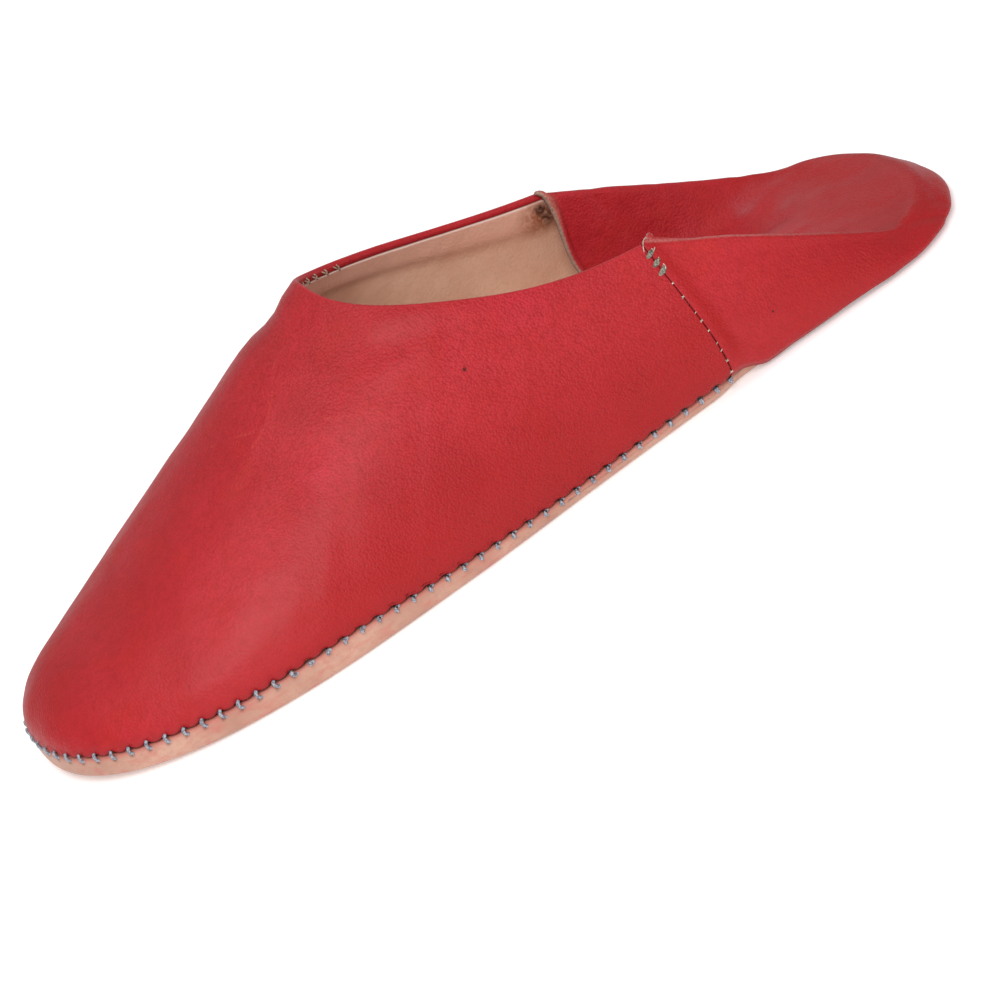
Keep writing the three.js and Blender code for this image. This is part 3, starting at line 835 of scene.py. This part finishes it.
lining = {
    "columns": 230, "rows": 34, "rowsRead": 90, "thickness": 0.6,
    "wall": 1.9, "gap": 0.1, "edgeRound": 0.5,
    "hem": 0.45, "hemDepth": 7.0, "hemFade": 3.5,
    "footIn": 1.2, "footReach": 6, "footFade": 3.5, "footGap": 0.1, "tuck": 2.4, "tuckFloor": 1.2,
    "edgeSteps": [0.0, 0.08, 0.2, 0.42, 0.8, 1.4, 2.4, 3.6, 5.0, 6.4, 7.4, 8.4, 9.6, 11.5],
    "unevenDepth": 0.1, "unevenSize": 17,
    "past": [1.5, 4.0, 7.0], "pastDrop": 0.02,
    "pink": 0.55, "shade": 0.35, "rim": 0.8, "pitShade": 0.8,
}


def makeLining():
    u = np.linspace(-1, 1, lining["columns"])
    points = vampSurface(u, np.linspace(0, 1, lining["rowsRead"]))[::-1]
    normals = -surfaceNormals(points)
    length = np.concatenate([np.zeros((1, len(u))),
                             np.cumsum(np.linalg.norm(np.diff(points, axis=0), axis=-1), 0)])
    # its edge lies just below the collar's turned edge, and its rows are close together there
    start = collarTurn(u) + lining["gap"]
    steps = np.array(lining["edgeSteps"])
    low = np.linspace(0, 1, lining["rows"] + 1)[1:]
    rest = (length[-1] - lining["footGap"] - start - steps[-1])[None] * low[:, None]
    down = start[None] + np.concatenate([np.tile(steps[:, None], len(u)), steps[-1] + rest])
    # the vamp's surface, read at those distances down from the collar
    laid, turned = np.empty((len(down), len(u), 3)), np.empty((len(down), len(u), 3))
    for i in range(len(u)):
        for k in range(3):
            laid[:, i, k] = np.interp(down[:, i], length[:, i], points[:, i, k])
            turned[:, i, k] = np.interp(down[:, i], length[:, i], normals[:, i, k])
    fromEdge = down - start[None]
    hem = lining["hem"] * (1 - ramp(fromEdge, lining["hemDepth"], lining["hemFade"]))
    uneven = lining["unevenDepth"] * unevenness(laid, lining["unevenSize"])
    nearFoot = smoothStep((down - length[-1][None] + lining["footReach"]) / lining["footFade"])
    depth = lining["wall"] + hem - roundedIn(fromEdge, lining["edgeRound"]) + uneven + throatHollow(down, u)
    depth = depth + lining["footIn"] * nearFoot
    laid = laid - unit(turned) * depth[..., None]
    # its foot is tucked down beside the insole and closes the seam
    tucked = laid[-1:].copy()
    tucked[..., 2] = np.maximum(tucked[..., 2] - lining["tuck"], lining["tuckFloor"])
    laid = np.concatenate([laid, tucked])
    fromEdge = np.concatenate([fromEdge, fromEdge[-1:] + lining["tuck"]])
    # it goes on past the side seams, behind the folded back
    before, after = [], []
    for distance in lining["past"]:
        for side, columns in ((0, before), (-1, after)):
            near = laid[:, side]
            away = unit(near - laid[:, 3 if side == 0 else -4])
            column = near + away * distance
            column[:, 2] *= 1 - lining["pastDrop"] * distance
            columns.append(column)
    laid = np.concatenate([np.stack(before[::-1], 1), laid, np.stack(after, 1)], 1)
    extra = len(lining["past"])
    fromEdge = np.pad(fromEdge, ((0, 0), (extra, extra)), mode="edge")
    piece = gridPiece("vamp_lining", laid)
    markPoints(piece, "pink", lining["pink"] * (1 - ramp(fromEdge, 6.5, 3)))
    markPoints(piece, "shade", lining["shade"] * bell(fromEdge - lining["hemDepth"] - 1.2, 2.4))
    # a pale line along the lining's top edge: painted highlight
    markPoints(piece, "rim", lining["rim"] * bell(fromEdge - 0.25, 0.25))
    # a thin dark line at the lining's top edge: painted shade in the gap below the turned red edge
    markPoints(piece, "pitShade", lining["pitShade"] * bell(fromEdge, 0.09))
    finishMesh(piece, lining["thickness"])
    dress(piece, liningMaterial, "lining_leather")


makeLining()
print("lining is made")

# Folded back

quarter = {
    "columns": 230, "thickness": 1.15,
    "outside": 34, "fold": 14, "inside": 40, "floor": 22,    # rows
    "seamSteps": [0.0, 0.15, 0.35, 0.5, 0.62, 0.9, 1.25, 1.6, 1.9, 2.15, 2.5, 3.1],
    "floorHeight": 6.4, "floorRise": 1.5, "riseFrom": 215, "riseLength": 35, "riseBlend": 0.7,
    "flapHug": 0.75, "heelHug": 0.42, "heelHugFrom": 225, "heelHugLength": 22,
    "edgeHalfWidth": 16.0, "edgeDepth": 2.0, "heelAxisFromEnd": 36.0, "leastReach": 20,
    "seamRound": 0.36, "seamBlend": 0.2, "seamGap": 0.02, "seamCalm": 5,
    "beadWidth": 2.1, "beadHeight": 0.85, "beadLow": 0.7, "beadHigh": 1.5,
    "heelSmoothing": 70, "smoothShare": 0.5, "smoothFrom": 244, "smoothLength": 14,
    "hookReach": 1.6, "hookRise": 1.2, "hookWidth": 3.4, "hookRow": 11, "hookRows": 8,
    "waveMedial": 2.2, "waveLateral": (-1.5, 1.1), "waveWidth": 14,
    "unevenDepth": 0.15, "unevenSize": 19,
    "seamShade": 0.85, "seamShadeWidth": 0.22,
    "shadeBandSeam": 0.75, "shadeBandFlap": 0.7, "shadeBandFoot": 0.35, "flapShadeFrom": 224, "flapShadeLength": 22,
    "wearAndHighlight": 0.45, "bloomAndSheen": 0.95, "flesh": 0.8, "cutWidth": 0.55, "cutFade": 0.3,
}
quarterCreases = [
    {"line": [(-30.3, 194.8, 34.6), (-30.2, 196.4, 32.1), (-30.0, 197.1, 28.0), (-29.5, 197.9, 21.2)],
     "width": 1.5, "depth": 0.35},
    {"line": [(32.0, 245.5, 7.8), (31.3, 251.1, 5.5), (30.7, 255.9, 3.0)], "width": 1.5, "depth": 0.55},
    {"line": [(30.0, 250.0, 9.0), (28.5, 255.0, 7.0), (26.5, 259.0, 5.0)], "width": 1.4, "depth": 0.4},
    {"line": [(41.8, 190.3, 14.4), (42.0, 195.1, 7.2)], "width": 2.0, "depth": 0.25},
    {"line": [(36.8, 222.0, 12.0), (38.0, 214.0, 7.0)], "width": 2.2, "depth": 0.25},
    {"line": [(-36.0, 225.0, 12.0), (-37.5, 216.0, 7.0)], "width": 2.2, "depth": 0.25},
    {"line": [(26.0, 228.7, 9.4), (22.0, 240.0, 8.4)], "width": 2.6, "depth": 0.3},
    {"line": [(-26.3, 228.7, 9.4), (-28.8, 237.1, 10.7), (-28.9, 244.4, 11.2)], "width": 2.4, "depth": 0.3},
    {"line": [(-17.3, 237.5, 8.0), (-10.4, 246.7, 8.2), (-3.8, 256.4, 9.6)], "width": 3.0, "depth": 0.3},
]
# Paler streaks on the trodden flap, partly scuffs and partly painted sheen: line, width and strength
streakLines = [
    ([(-28.9, 244.4, 11.2), (-28.8, 237.1, 10.7), (-26.3, 228.7, 9.4)], 3.0, 0.8),
    ([(-17.3, 237.5, 8.0), (-10.4, 246.7, 8.2), (-3.8, 256.4, 9.6)], 3.5, 0.8),
    ([(-8.0, 226.0, 6.6), (4.0, 240.0, 7.2), (10.0, 250.0, 8.4)], 5.0, 0.5),
]


# The flap lies on the insole, but stands clear of it at the lateral side of the heel
def flapFloor(at, w):
    back = ramp(at, quarter["riseFrom"], quarter["riseLength"])
    lateral = smoothStep(w[:, None] / quarter["riseBlend"] + 0.5)
    return quarter["floorHeight"] + quarter["floorRise"] * back * lateral


# The red leather's grain side for columns round the heel: up the outside, over the fold, down to the floor
def quarterSurface():
    w = seamColumns(quarter, backLines[1], 0.005)
    start = heelPoint(w)
    at = start[:, 1:]
    axisEnd = shoe["length"] - quarter["heelAxisFromEnd"]
    axisPoint = np.stack([np.zeros(len(w)), np.minimum(start[:, 1], axisEnd)], -1)
    inward = unit(axisPoint - start)
    reach = np.maximum(np.linalg.norm(axisPoint - start, axis=1), quarter["leastReach"])[:, None]
    footHeight, inset = quarterFootHeight(at), foldInset(at)
    top = np.where(w[:, None] <= 0, foldTops[1](at), foldTops[-1](at))
    # up the outside, on the last's own curve
    wide, tall = shoe["bodySection"]
    v = (np.linspace(0, 1, quarter["outside"] + 1) ** 1.5)[None]
    scale = 1 - (1 - inset / reach) ** wide
    rise = ((1 - (1 - (inset * v) / reach) ** wide) / scale) ** (1 / tall)
    height = mix(footHeight, top, rise)
    out = belly(at, height - footHeight, top - footHeight)
    insets = mix(quarterFootInset(at), inset, v) - out
    # over the fold in an arc, from the outside's own climb to the flap's slope
    climb = np.arctan2(height[:, -1] - height[:, -5], insets[:, -1] - insets[:, -5])[:, None]
    handover = -np.radians(foldSlope(at))
    radius = foldRadius(at)
    angles = mix(climb, handover, np.linspace(0, 1, quarter["fold"] + 1)[None, 1:])
    foldInsets = insets[:, -1:] + radius * (np.sin(climb) - np.sin(angles))
    foldHeights = height[:, -1:] + radius * (np.cos(angles) - np.cos(climb))
    # down the inside in a curve that ends flat on the floor
    lipInset, lipHeight = foldInsets[:, -1:], foldHeights[:, -1:]
    floor = flapFloor(at, w)
    drop = lipHeight - floor
    towardsEnd = ramp(at, quarter["heelHugFrom"], quarter["heelHugLength"])
    hug = mix(quarter["flapHug"], quarter["heelHug"], towardsEnd)
    run = flapRun(at)
    corners = [
        (lipInset, lipHeight),
        (lipInset + hug * drop / np.tan(-handover), lipHeight - hug * drop),
        (lipInset + run * (1 - hug), floor),
        (lipInset + run, floor),
    ]
    t = np.linspace(0, 1, quarter["inside"] + 1)[None, 1:]
    weights = [(1 - t) ** 3, 3 * t * (1 - t) ** 2, 3 * t * t * (1 - t), t ** 3]
    insideInsets = sum(k * c[0] for k, c in zip(weights, corners))
    insideHeights = sum(k * c[1] for k, c in zip(weights, corners))
    allInsets = np.concatenate([insets, foldInsets, insideInsets], 1)
    allHeights = np.concatenate([height, foldHeights, insideHeights], 1)
    plan = start[:, None] + inward[:, None] * allInsets[..., None]
    # near the seams the wall leans forward with them
    nearSeam = (1 - smoothStep((1 - np.abs(w)) / quarter["seamBlend"]))[:, None]
    plan[..., 1] -= (shoe["seamFootAt"] - shoe["seamTopAt"]) * nearSeam * np.minimum(allInsets / inset, 1)
    plan[..., 1] += quarter["seamGap"] * nearSeam
    wall = np.concatenate([plan, allHeights[..., None]], -1)
    # across the floor to the flap's free edge
    edge = np.stack([-w * quarter["edgeHalfWidth"],
                     shoe["seamTopAt"] + quarter["seamGap"] + quarter["edgeDepth"] * (1 - w * w) ** 2,
                     np.full(len(w), quarter["floorHeight"])], -1)
    steps = np.linspace(0, 1, quarter["floor"] + 1)[1:] ** 0.8
    flat = wall[:, -1:] + (edge[:, None] - wall[:, -1:]) * steps[None, :, None]
    return w, np.concatenate([wall, flat], 1).transpose(1, 0, 2)


# At the heel's end the roll is soft and runs out into the flap without a step
def softenHeel(points, w):
    share = ramp(heelPoint(w)[:, 1], quarter["smoothFrom"], quarter["smoothLength"])[None]
    row = np.arange(len(points))[:, None] - quarter["outside"]
    rows = ramp(row, -16, 8) * (1 - ramp(row - quarter["fold"], 22, 10))
    share = quarter["smoothShare"] * share * rows
    for _ in range(quarter["heelSmoothing"]):
        between = (points[:-2] + points[2:]) / 2
        points[1:-1] += share[1:-1, :, None] * (between - points[1:-1])
    return points


def makeQuarter():
    w, points = quarterSurface()
    points = softenHeel(points, w)
    normals = surfaceNormals(points)
    fromSeam = seamDistance(points)
    fromFront = np.minimum(fromSeam, np.linalg.norm(points - points[-1:], axis=-1))
    at, height = points[..., 1], points[..., 2]
    row = np.arange(len(points))[:, None] - quarter["outside"]    # counted from the top of the outside
    inside = ramp(row, 3, 8)
    outer = 1 - inside
    drawn = outer * roundedIn(fromSeam, quarter["seamRound"])
    # the flap's free edge is a thick bead, thickest at its top
    across = np.clip(fromFront / quarter["beadWidth"], 0, 1)
    bead = np.sqrt(np.clip(1 - (2 * across - 1) ** 2, 0, 1)) * (fromFront < quarter["beadWidth"])
    full = mix(quarter["beadLow"], quarter["beadHigh"], ramp(height, 15, 25))
    drawn = drawn - inside * bead * full * quarter["beadHeight"]
    uneven = quarter["unevenDepth"] * unevenness(points, quarter["unevenSize"])
    creases = reliefDepth(points, quarterCreases) + uneven
    drawn = drawn + creases * smoothStep(fromSeam / quarter["seamCalm"])
    laid = points - normals * drawn[..., None]
    # at the lateral seam the flap's top corner hooks forward over the end of the vamp's collar
    lateral = (w > 0)[None]
    nearSeam = 1 - smoothStep(fromSeam / quarter["hookWidth"])
    corner = bell(row - quarter["hookRow"], quarter["hookRows"]) * lateral * nearSeam
    laid[..., 1] -= quarter["hookReach"] * corner
    laid[..., 2] += quarter["hookRise"] * corner
    # below its top the flap's free edge waves a little, towards the heel and back
    firstRow = np.where(lateral, 9, 3)
    behindCrest = ramp(row, firstRow, 6) * (1 - smoothStep(fromSeam / quarter["waveWidth"]))
    lateralWave = mix(*quarter["waveLateral"], ramp(height, 22, 16))
    wave = np.where(lateral, lateralWave, quarter["waveMedial"])
    laid[..., 1] += behindCrest * wave * ramp(height, 8, 14)
    piece = gridPiece("heel_quarter_leather", laid)
    markPoints(piece, "shade", outer * quarter["seamShade"] * bell(fromSeam, quarter["seamShadeWidth"]))
    markPoints(piece, "smooth", mix(0.25, 0.45, inside) + 0 * fromSeam)
    # a darker red just behind the side seams, low on the outside and over the flap's heel end: painted shade
    behindSeam = outer * bell(fromSeam - 3.0, 2.2) * ramp(height, 4, 8)
    flap = inside * ramp(at, quarter["flapShadeFrom"], quarter["flapShadeLength"])
    foot = outer * bell(height - 6, 14)
    markPoints(piece, "shadeBand", quarter["shadeBandSeam"] * behindSeam + quarter["shadeBandFlap"] * flap
               + quarter["shadeBandFoot"] * foot)
    # the fold's crest is lighter pink: partly worn, partly painted highlight
    crest = bell(row - 5, 1.4) * (1 - ramp(at, 200, 55))
    markPoints(piece, "wearAndHighlight", quarter["wearAndHighlight"] * crest)
    # paler streaks on the flap, faded out at the heel's end: partly scuffs, partly painted sheen
    streaks = sum(share * bell(lineDistance(points, line), width) for line, width, share in streakLines)
    heelEnd = ramp(at, 240, 12)
    markPoints(piece, "bloomAndSheen", quarter["bloomAndSheen"] * streaks * (1 - 0.9 * heelEnd))
    bare = bell(fromFront, mix(0.7, 1.9, ramp(height, 28, 14)))
    markPoints(piece, "flesh", quarter["flesh"] * ramp(row, 7, 5) * bare)
    markPoints(piece, "cut", inside * (1 - ramp(fromFront, quarter["cutWidth"], quarter["cutFade"])))
    finishMesh(piece, quarter["thickness"])
    dress(piece, redMaterial, "upper_leather", "heel_quarter")


makeQuarter()
print("folded back is made")

# Sole and insole

sole = {
    "columns": 1000, "thickness": 3.0, "corner": 2.6, "roundSteps": 7,
    "rimWall": 2.4, "rimRound": 1.1, "rimFoot": 0.2,
    "tuckFrom": 179, "tuckTo": 190, "tuckDepth": 2.2,
    "axisStart": 26.0, "axisEnd": 232.0,
    "dye": 0.75, "dyeDepth": 0.9, "pitShade": 0.75, "pitWidth": 0.55,
}
insole = {"columns": 400, "inset": 3.4, "thickness": 1.5}


def soleTuck(at):
    return sole["tuckDepth"] * ramp(at, sole["tuckFrom"], sole["tuckTo"] - sole["tuckFrom"])


# The sole's whole edge: along the medial side to the heel and back along the lateral side
def soleEdge(count):
    half = count // 2
    t = np.linspace(0, 1, half + 1)
    at = shoe["length"] * mix(t, (1 - np.cos(np.pi * t)) / 2, 0.75)
    at[-1] = shoe["length"]
    medial = np.stack([axisX(at) + halfWidth(at, 1), at], -1)
    lateral = np.stack([axisX(at) - halfWidth(at, -1), at], -1)[::-1]
    return np.concatenate([medial, lateral[1:]])


# Plan points in from a closed line, whose last point is its first
def insetLine(edge, distance):
    once = edge[:-1]
    along = unit(np.roll(once, -1, 0) - np.roll(once, 1, 0))
    inward = np.stack([-along[:, 1], along[:, 0]], -1)
    inside = once + inward * np.broadcast_to(distance, len(once))[:, None]
    return np.concatenate([inside, inside[:1]])


# Plan points drawn towards the shoe's long axis
def towardsAxis(plan, share):
    at = np.clip(plan[:, 1], sole["axisStart"], sole["axisEnd"])
    axis = np.stack([axisX(at), at], -1)
    return plan + (axis - plan) * share


def atHeight(plan, height):
    return np.concatenate([plan, np.broadcast_to(height, len(plan))[:, None]], -1)


def makeSole():
    edge = soleEdge(sole["columns"])
    at = edge[:, 1]
    spring, tuck = springHeight(at), soleTuck(at)[:-1]
    rows = []
    # the underside, from the middle out and round the corner
    flat = insetLine(edge, tuck + sole["corner"])
    for share in (1.0, 0.75, 0.5, 0.25, 0.08):
        plan = towardsAxis(flat, share)
        rows.append(atHeight(plan, springHeight(plan[:, 1])))
    quarterTurn = np.linspace(0, math.pi / 2, sole["roundSteps"])
    for angle in quarterTurn:
        inset = sole["corner"] * (1 - math.sin(angle))
        rows.append(atHeight(insetLine(edge, tuck + inset), spring + sole["corner"] * (1 - math.cos(angle))))
    # up the rim, over its round edge and down to the sole's upper side
    top = rimTop(at)
    radius = sole["rimRound"]
    low = spring + sole["corner"]
    for share in (0.35, 0.7):
        rows.append(atHeight(insetLine(edge, tuck), mix(low, top - radius, share)))
    for angle in quarterTurn:
        rows.append(atHeight(insetLine(edge, tuck + radius * (1 - math.cos(angle))),
                             top - radius * (1 - math.sin(angle))))
    rows.append(atHeight(insetLine(edge, tuck + sole["rimWall"]), top))
    inner = insetLine(edge, tuck + sole["rimWall"] + sole["rimFoot"])
    rows.append(atHeight(inner, spring + sole["thickness"]))
    for share in (0.1, 0.5, 1.0):
        plan = towardsAxis(inner, share)
        rows.append(atHeight(plan, springHeight(plan[:, 1]) + sole["thickness"]))
    points = np.stack(rows)
    piece = gridPiece("outsole_leather", points)
    # the red dye has run onto the rim below the vamp, and the rim is darker round the stitches' holes:
    # painted shade
    dyed = bell(top[None] - points[..., 2], sole["dyeDepth"]) * (points[..., 1] < shoe["seamFootAt"])
    markPoints(piece, "dye", sole["dye"] * dyed)
    pits = [stitch["low"] for stitch in soleStitches() if stitch["open"] > 0.3]
    nearest = np.min([np.linalg.norm(points - pitShade, axis=-1) for pitShade in pits], axis=0)
    markPoints(piece, "pitShade", sole["pitShade"] * bell(nearest, sole["pitWidth"]))
    finishMesh(piece)
    dress(piece, soleMaterial, "sole_leather", "outsole")


def makeInsole():
    edge = soleEdge(insole["columns"])
    base = sole["thickness"] + shoe["gap"]
    rows = []
    outer = insetLine(edge, soleTuck(edge[:-1, 1]) + insole["inset"])
    for order, height in ((1, base), (-1, base + insole["thickness"])):
        for share in (1.0, 0.5, 0.05, 0.0)[::order]:
            plan = towardsAxis(outer, share)
            rows.append(atHeight(plan, springHeight(plan[:, 1]) + height))
    piece = gridPiece("insole_leather", np.stack(rows))
    finishMesh(piece)
    dress(piece, insoleMaterial, "insole_leather", "insole")


# Where each stitch of the sole seam leaves the vamp and enters the rim
def soleStitches():
    rng = random.Random(7)
    fine = np.linspace(0, 0.25, 120)
    found = []
    for side in (1, -1):
        for i in range(stitchCount[side] + 1):
            if side < 0 and i == 0:
                continue
            u = np.array([side * min(i / stitchCount[side], 0.997)])
            columns = vampSurface(u + np.array([0.002, 0, -0.002]), fine)
            column, normals = columns[:, 1], surfaceNormals(columns)[:, 1]
            out = np.array([*unit(footPoint(u) - collarPoint(u))[0], 0])
            along = np.cross([0, 0, 1], out) * side
            opened = float(openStitches(column[0, 1]))
            up = mix(soleStitch["shortUp"], soleStitch["up"], opened) * rng.uniform(0.85, 1.15)
            down = mix(soleStitch["shortDown"], soleStitch["down"], opened) * rng.uniform(0.85, 1.15)
            slant = along * soleStitch["slant"] * opened * rng.uniform(0.7, 1.3)
            k = int(np.searchsorted(np.linalg.norm(column - column[0], axis=1), up))
            high = column[k] - normals[k] * (soleStitch["pull"] + roundedIn(up, vamp["footRound"]))
            low = column[0] - np.array([0, 0, shoe["gap"] + down]) + slant
            seam = column[0] - np.array([0, 0, 0.1])
            found.append({"high": high, "low": low, "out": out, "along": along, "open": opened, "seam": seam})
    return found


makeSole()
makeInsole()
print("sole and insole are made")


# Threads

# Short lengths of thread of one diameter: each path is a list of points in millimetres
def makeThreads(name, paths, diameter, thread):
    curve = bpy.data.curves.new(name, "CURVE")
    curve.dimensions = "3D"
    curve.bevel_depth = diameter / 2 * shoe["toMetres"]
    curve.bevel_resolution = 2
    curve.use_fill_caps = True
    for path in paths:
        spline = curve.splines.new("NURBS")
        spline.points.add(len(path) - 1)
        for point, place in zip(spline.points, toMetres(np.array(path))):
            point.co = (*place, 1)
        spline.order_u = 3
        spline.use_endpoint_u = True
        spline.resolution_u = 3
    piece = bpy.data.objects.new(name, curve)
    bpy.context.scene.collection.objects.link(piece)
    selectOnly(piece)
    bpy.ops.object.convert(target="MESH")
    bpy.ops.object.shade_smooth()
    dress(bpy.context.object, threadMaterials[thread], "thread")


def makeSoleStitches():
    paths, dashes = [], []
    for stitch in soleStitches():
        high, low, out, seam = (stitch[k] for k in ("high", "low", "out", "seam"))
        run = unit(low - high)
        beside = unit(np.cross(run, out))
        sink = soleStitch["sink"]
        # on the far side the thread is drawn deeper into the leather
        flush = soleStitch["farSide"] * smoothStep((0.35 - out[0]) / 0.4)
        # past the toe the stitches' holes are short dark dashes of thread along the seam: painted shade in
        # the holes
        if low[1] > soleStitch["dashFrom"]:
            half = stitch["along"] * soleStitch["dashLength"] / 2
            ends = out * soleStitch["dashEnds"]
            dashes.append([seam - half - ends, seam + out * soleStitch["dashMiddle"], seam + half - ends])
        for ply in (-1, 1):
            path = [high - out * sink - run * soleStitch["topTail"]]
            for share, proud in soleStitch["profile"]:
                turn = math.pi * (0.3 * share - 0.1)
                spread = ply * soleStitch["plySpread"]
                path.append(mix(high, low, share) + out * (proud - flush + spread * math.sin(turn))
                            + beside * spread * math.cos(turn))
            path.append(low - out * (sink + soleStitch["footSink"]) - run * soleStitch["footTail"])
            paths.append(path)
    makeThreads("sole_stitches", paths, soleStitch["ply"], "waxed_thread_grey_blue")
    makeThreads("sole_stitch_hole_shade", dashes, soleStitch["dashDiameter"], "waxed_thread_shadowed")


# Stitches along the side seams and at the throat

# The crosses' and the tacks' places are shares of the seam's height
seamStitch = {
    "crosses": [0.717, 0.620, 0.507, 0.450, 0.380, 0.290, 0.237, 0.157, 0.060],
    "crossLength": 1.0, "crossDiameter": 0.22, "crossMissing": 0.3,
    "tacks": [0.943, 0.873, 0.810],
    "tackLength": 2.9, "tackDiameter": 0.42, "tackStep": 0.3, "tackLean": 0.3,
    "tackThreads": 5, "tackHairs": 3,
    "looseEnd": [(33.8, 182.4, 40.6), (33.8, 182.7, 41.8), (33.4, 183.5, 43.0), (32.7, 184.6, 43.2),
                 (32.4, 185.0, 42.6)],
}
throatStitches = {
    "places": [(-12.4, 113.4, 63.6), (-13.2, 115.0, 63.4), (-15.0, 116.9, 62.6), (-17.8, 119.6, 61.3),
               (-20.2, 122.9, 59.9), (-22.3, 126.5, 58.4)],
    "lean": 0.45, "diameter": 0.4,
}


# A point of a side seam, with its normal, the way up the seam and the way across it
def seamFrame(side, v):
    u = np.array([0.99, 0.995, 1.0])[::side] * side
    columns = vampSurface(u, np.array([v - 0.01, v, v + 0.01]))
    normal = surfaceNormals(columns)[1, 1]
    place = columns[1, 2 if side > 0 else 0]
    upSeam = unit(columns[2, 1] - columns[0, 1])
    return place, normal, upSeam, unit(np.cross(upSeam, normal)) * side


def makeSeamStitches():
    rng = random.Random(11)
    crosses, tacks = [], []
    for side in (1, -1):
        for v in seamStitch["crosses"]:
            place, normal, upSeam, across = seamFrame(side, v)
            half = seamStitch["crossLength"] / 2
            for lean in (-1, 1):
                if lean < 0 and rng.random() < seamStitch["crossMissing"]:
                    continue
                reach = across * half * rng.uniform(0.7, 1.1) + upSeam * lean * half * rng.uniform(0.3, 0.8)
                crosses.append([place - reach - normal * 0.4, place - reach * 0.7 + normal * 0.02, place,
                                place + reach * 0.7 + normal * 0.02, place + reach - normal * 0.4])
        for v in seamStitch["tacks"]:
            place, normal, upSeam, across = seamFrame(side, v)
            half = across * seamStitch["tackLength"] / 2
            for i in range(seamStitch["tackThreads"]):
                bulge = upSeam * (i - seamStitch["tackThreads"] // 2) * seamStitch["tackStep"]
                lean = upSeam * seamStitch["tackLean"]
                reach = half * rng.uniform(0.75, 1.1)
                shoulder = bulge * 0.4 + normal * 0.1
                tacks.append([place - reach - lean - normal * 0.5, place - reach * 0.8 - lean + shoulder,
                              place + bulge + normal * 0.4, place + reach * 0.8 + lean + shoulder,
                              place + reach + lean - normal * 0.5])
            for _ in range(seamStitch["tackHairs"]):
                foot = place + half * rng.uniform(0.3, 0.9) + upSeam * rng.uniform(-0.5, 0.5)
                hair = half * rng.uniform(-0.1, 0.5) + upSeam * rng.uniform(0.2, 1.2)
                crosses.append([foot, foot + hair * 0.5 + normal * 0.5, foot + hair + normal * 0.25])
    crosses.append(seamStitch["looseEnd"])
    makeThreads("side_seam_stitches", crosses, seamStitch["crossDiameter"], "linen_thread_off_white")
    makeThreads("side_seam_tacks", tacks, seamStitch["tackDiameter"], "linen_thread_grey_olive")


def makeThroatStitches():
    paths = []
    for place in throatStitches["places"]:
        middle = np.array(place)
        for lean in (-throatStitches["lean"], throatStitches["lean"]):
            paths.append([middle + (0.3, -0.5 + lean, 1.0), middle + (0.5, -0.1 + lean, 0.5),
                          middle + (0.7, 0.1, -0.3), middle + (0.3, 0.2, -0.7)])
    makeThreads("throat_stitches", paths, throatStitches["diameter"], "linen_thread_taupe")


makeSoleStitches()
makeSeamStitches()
makeThroatStitches()
print("stitches are made")
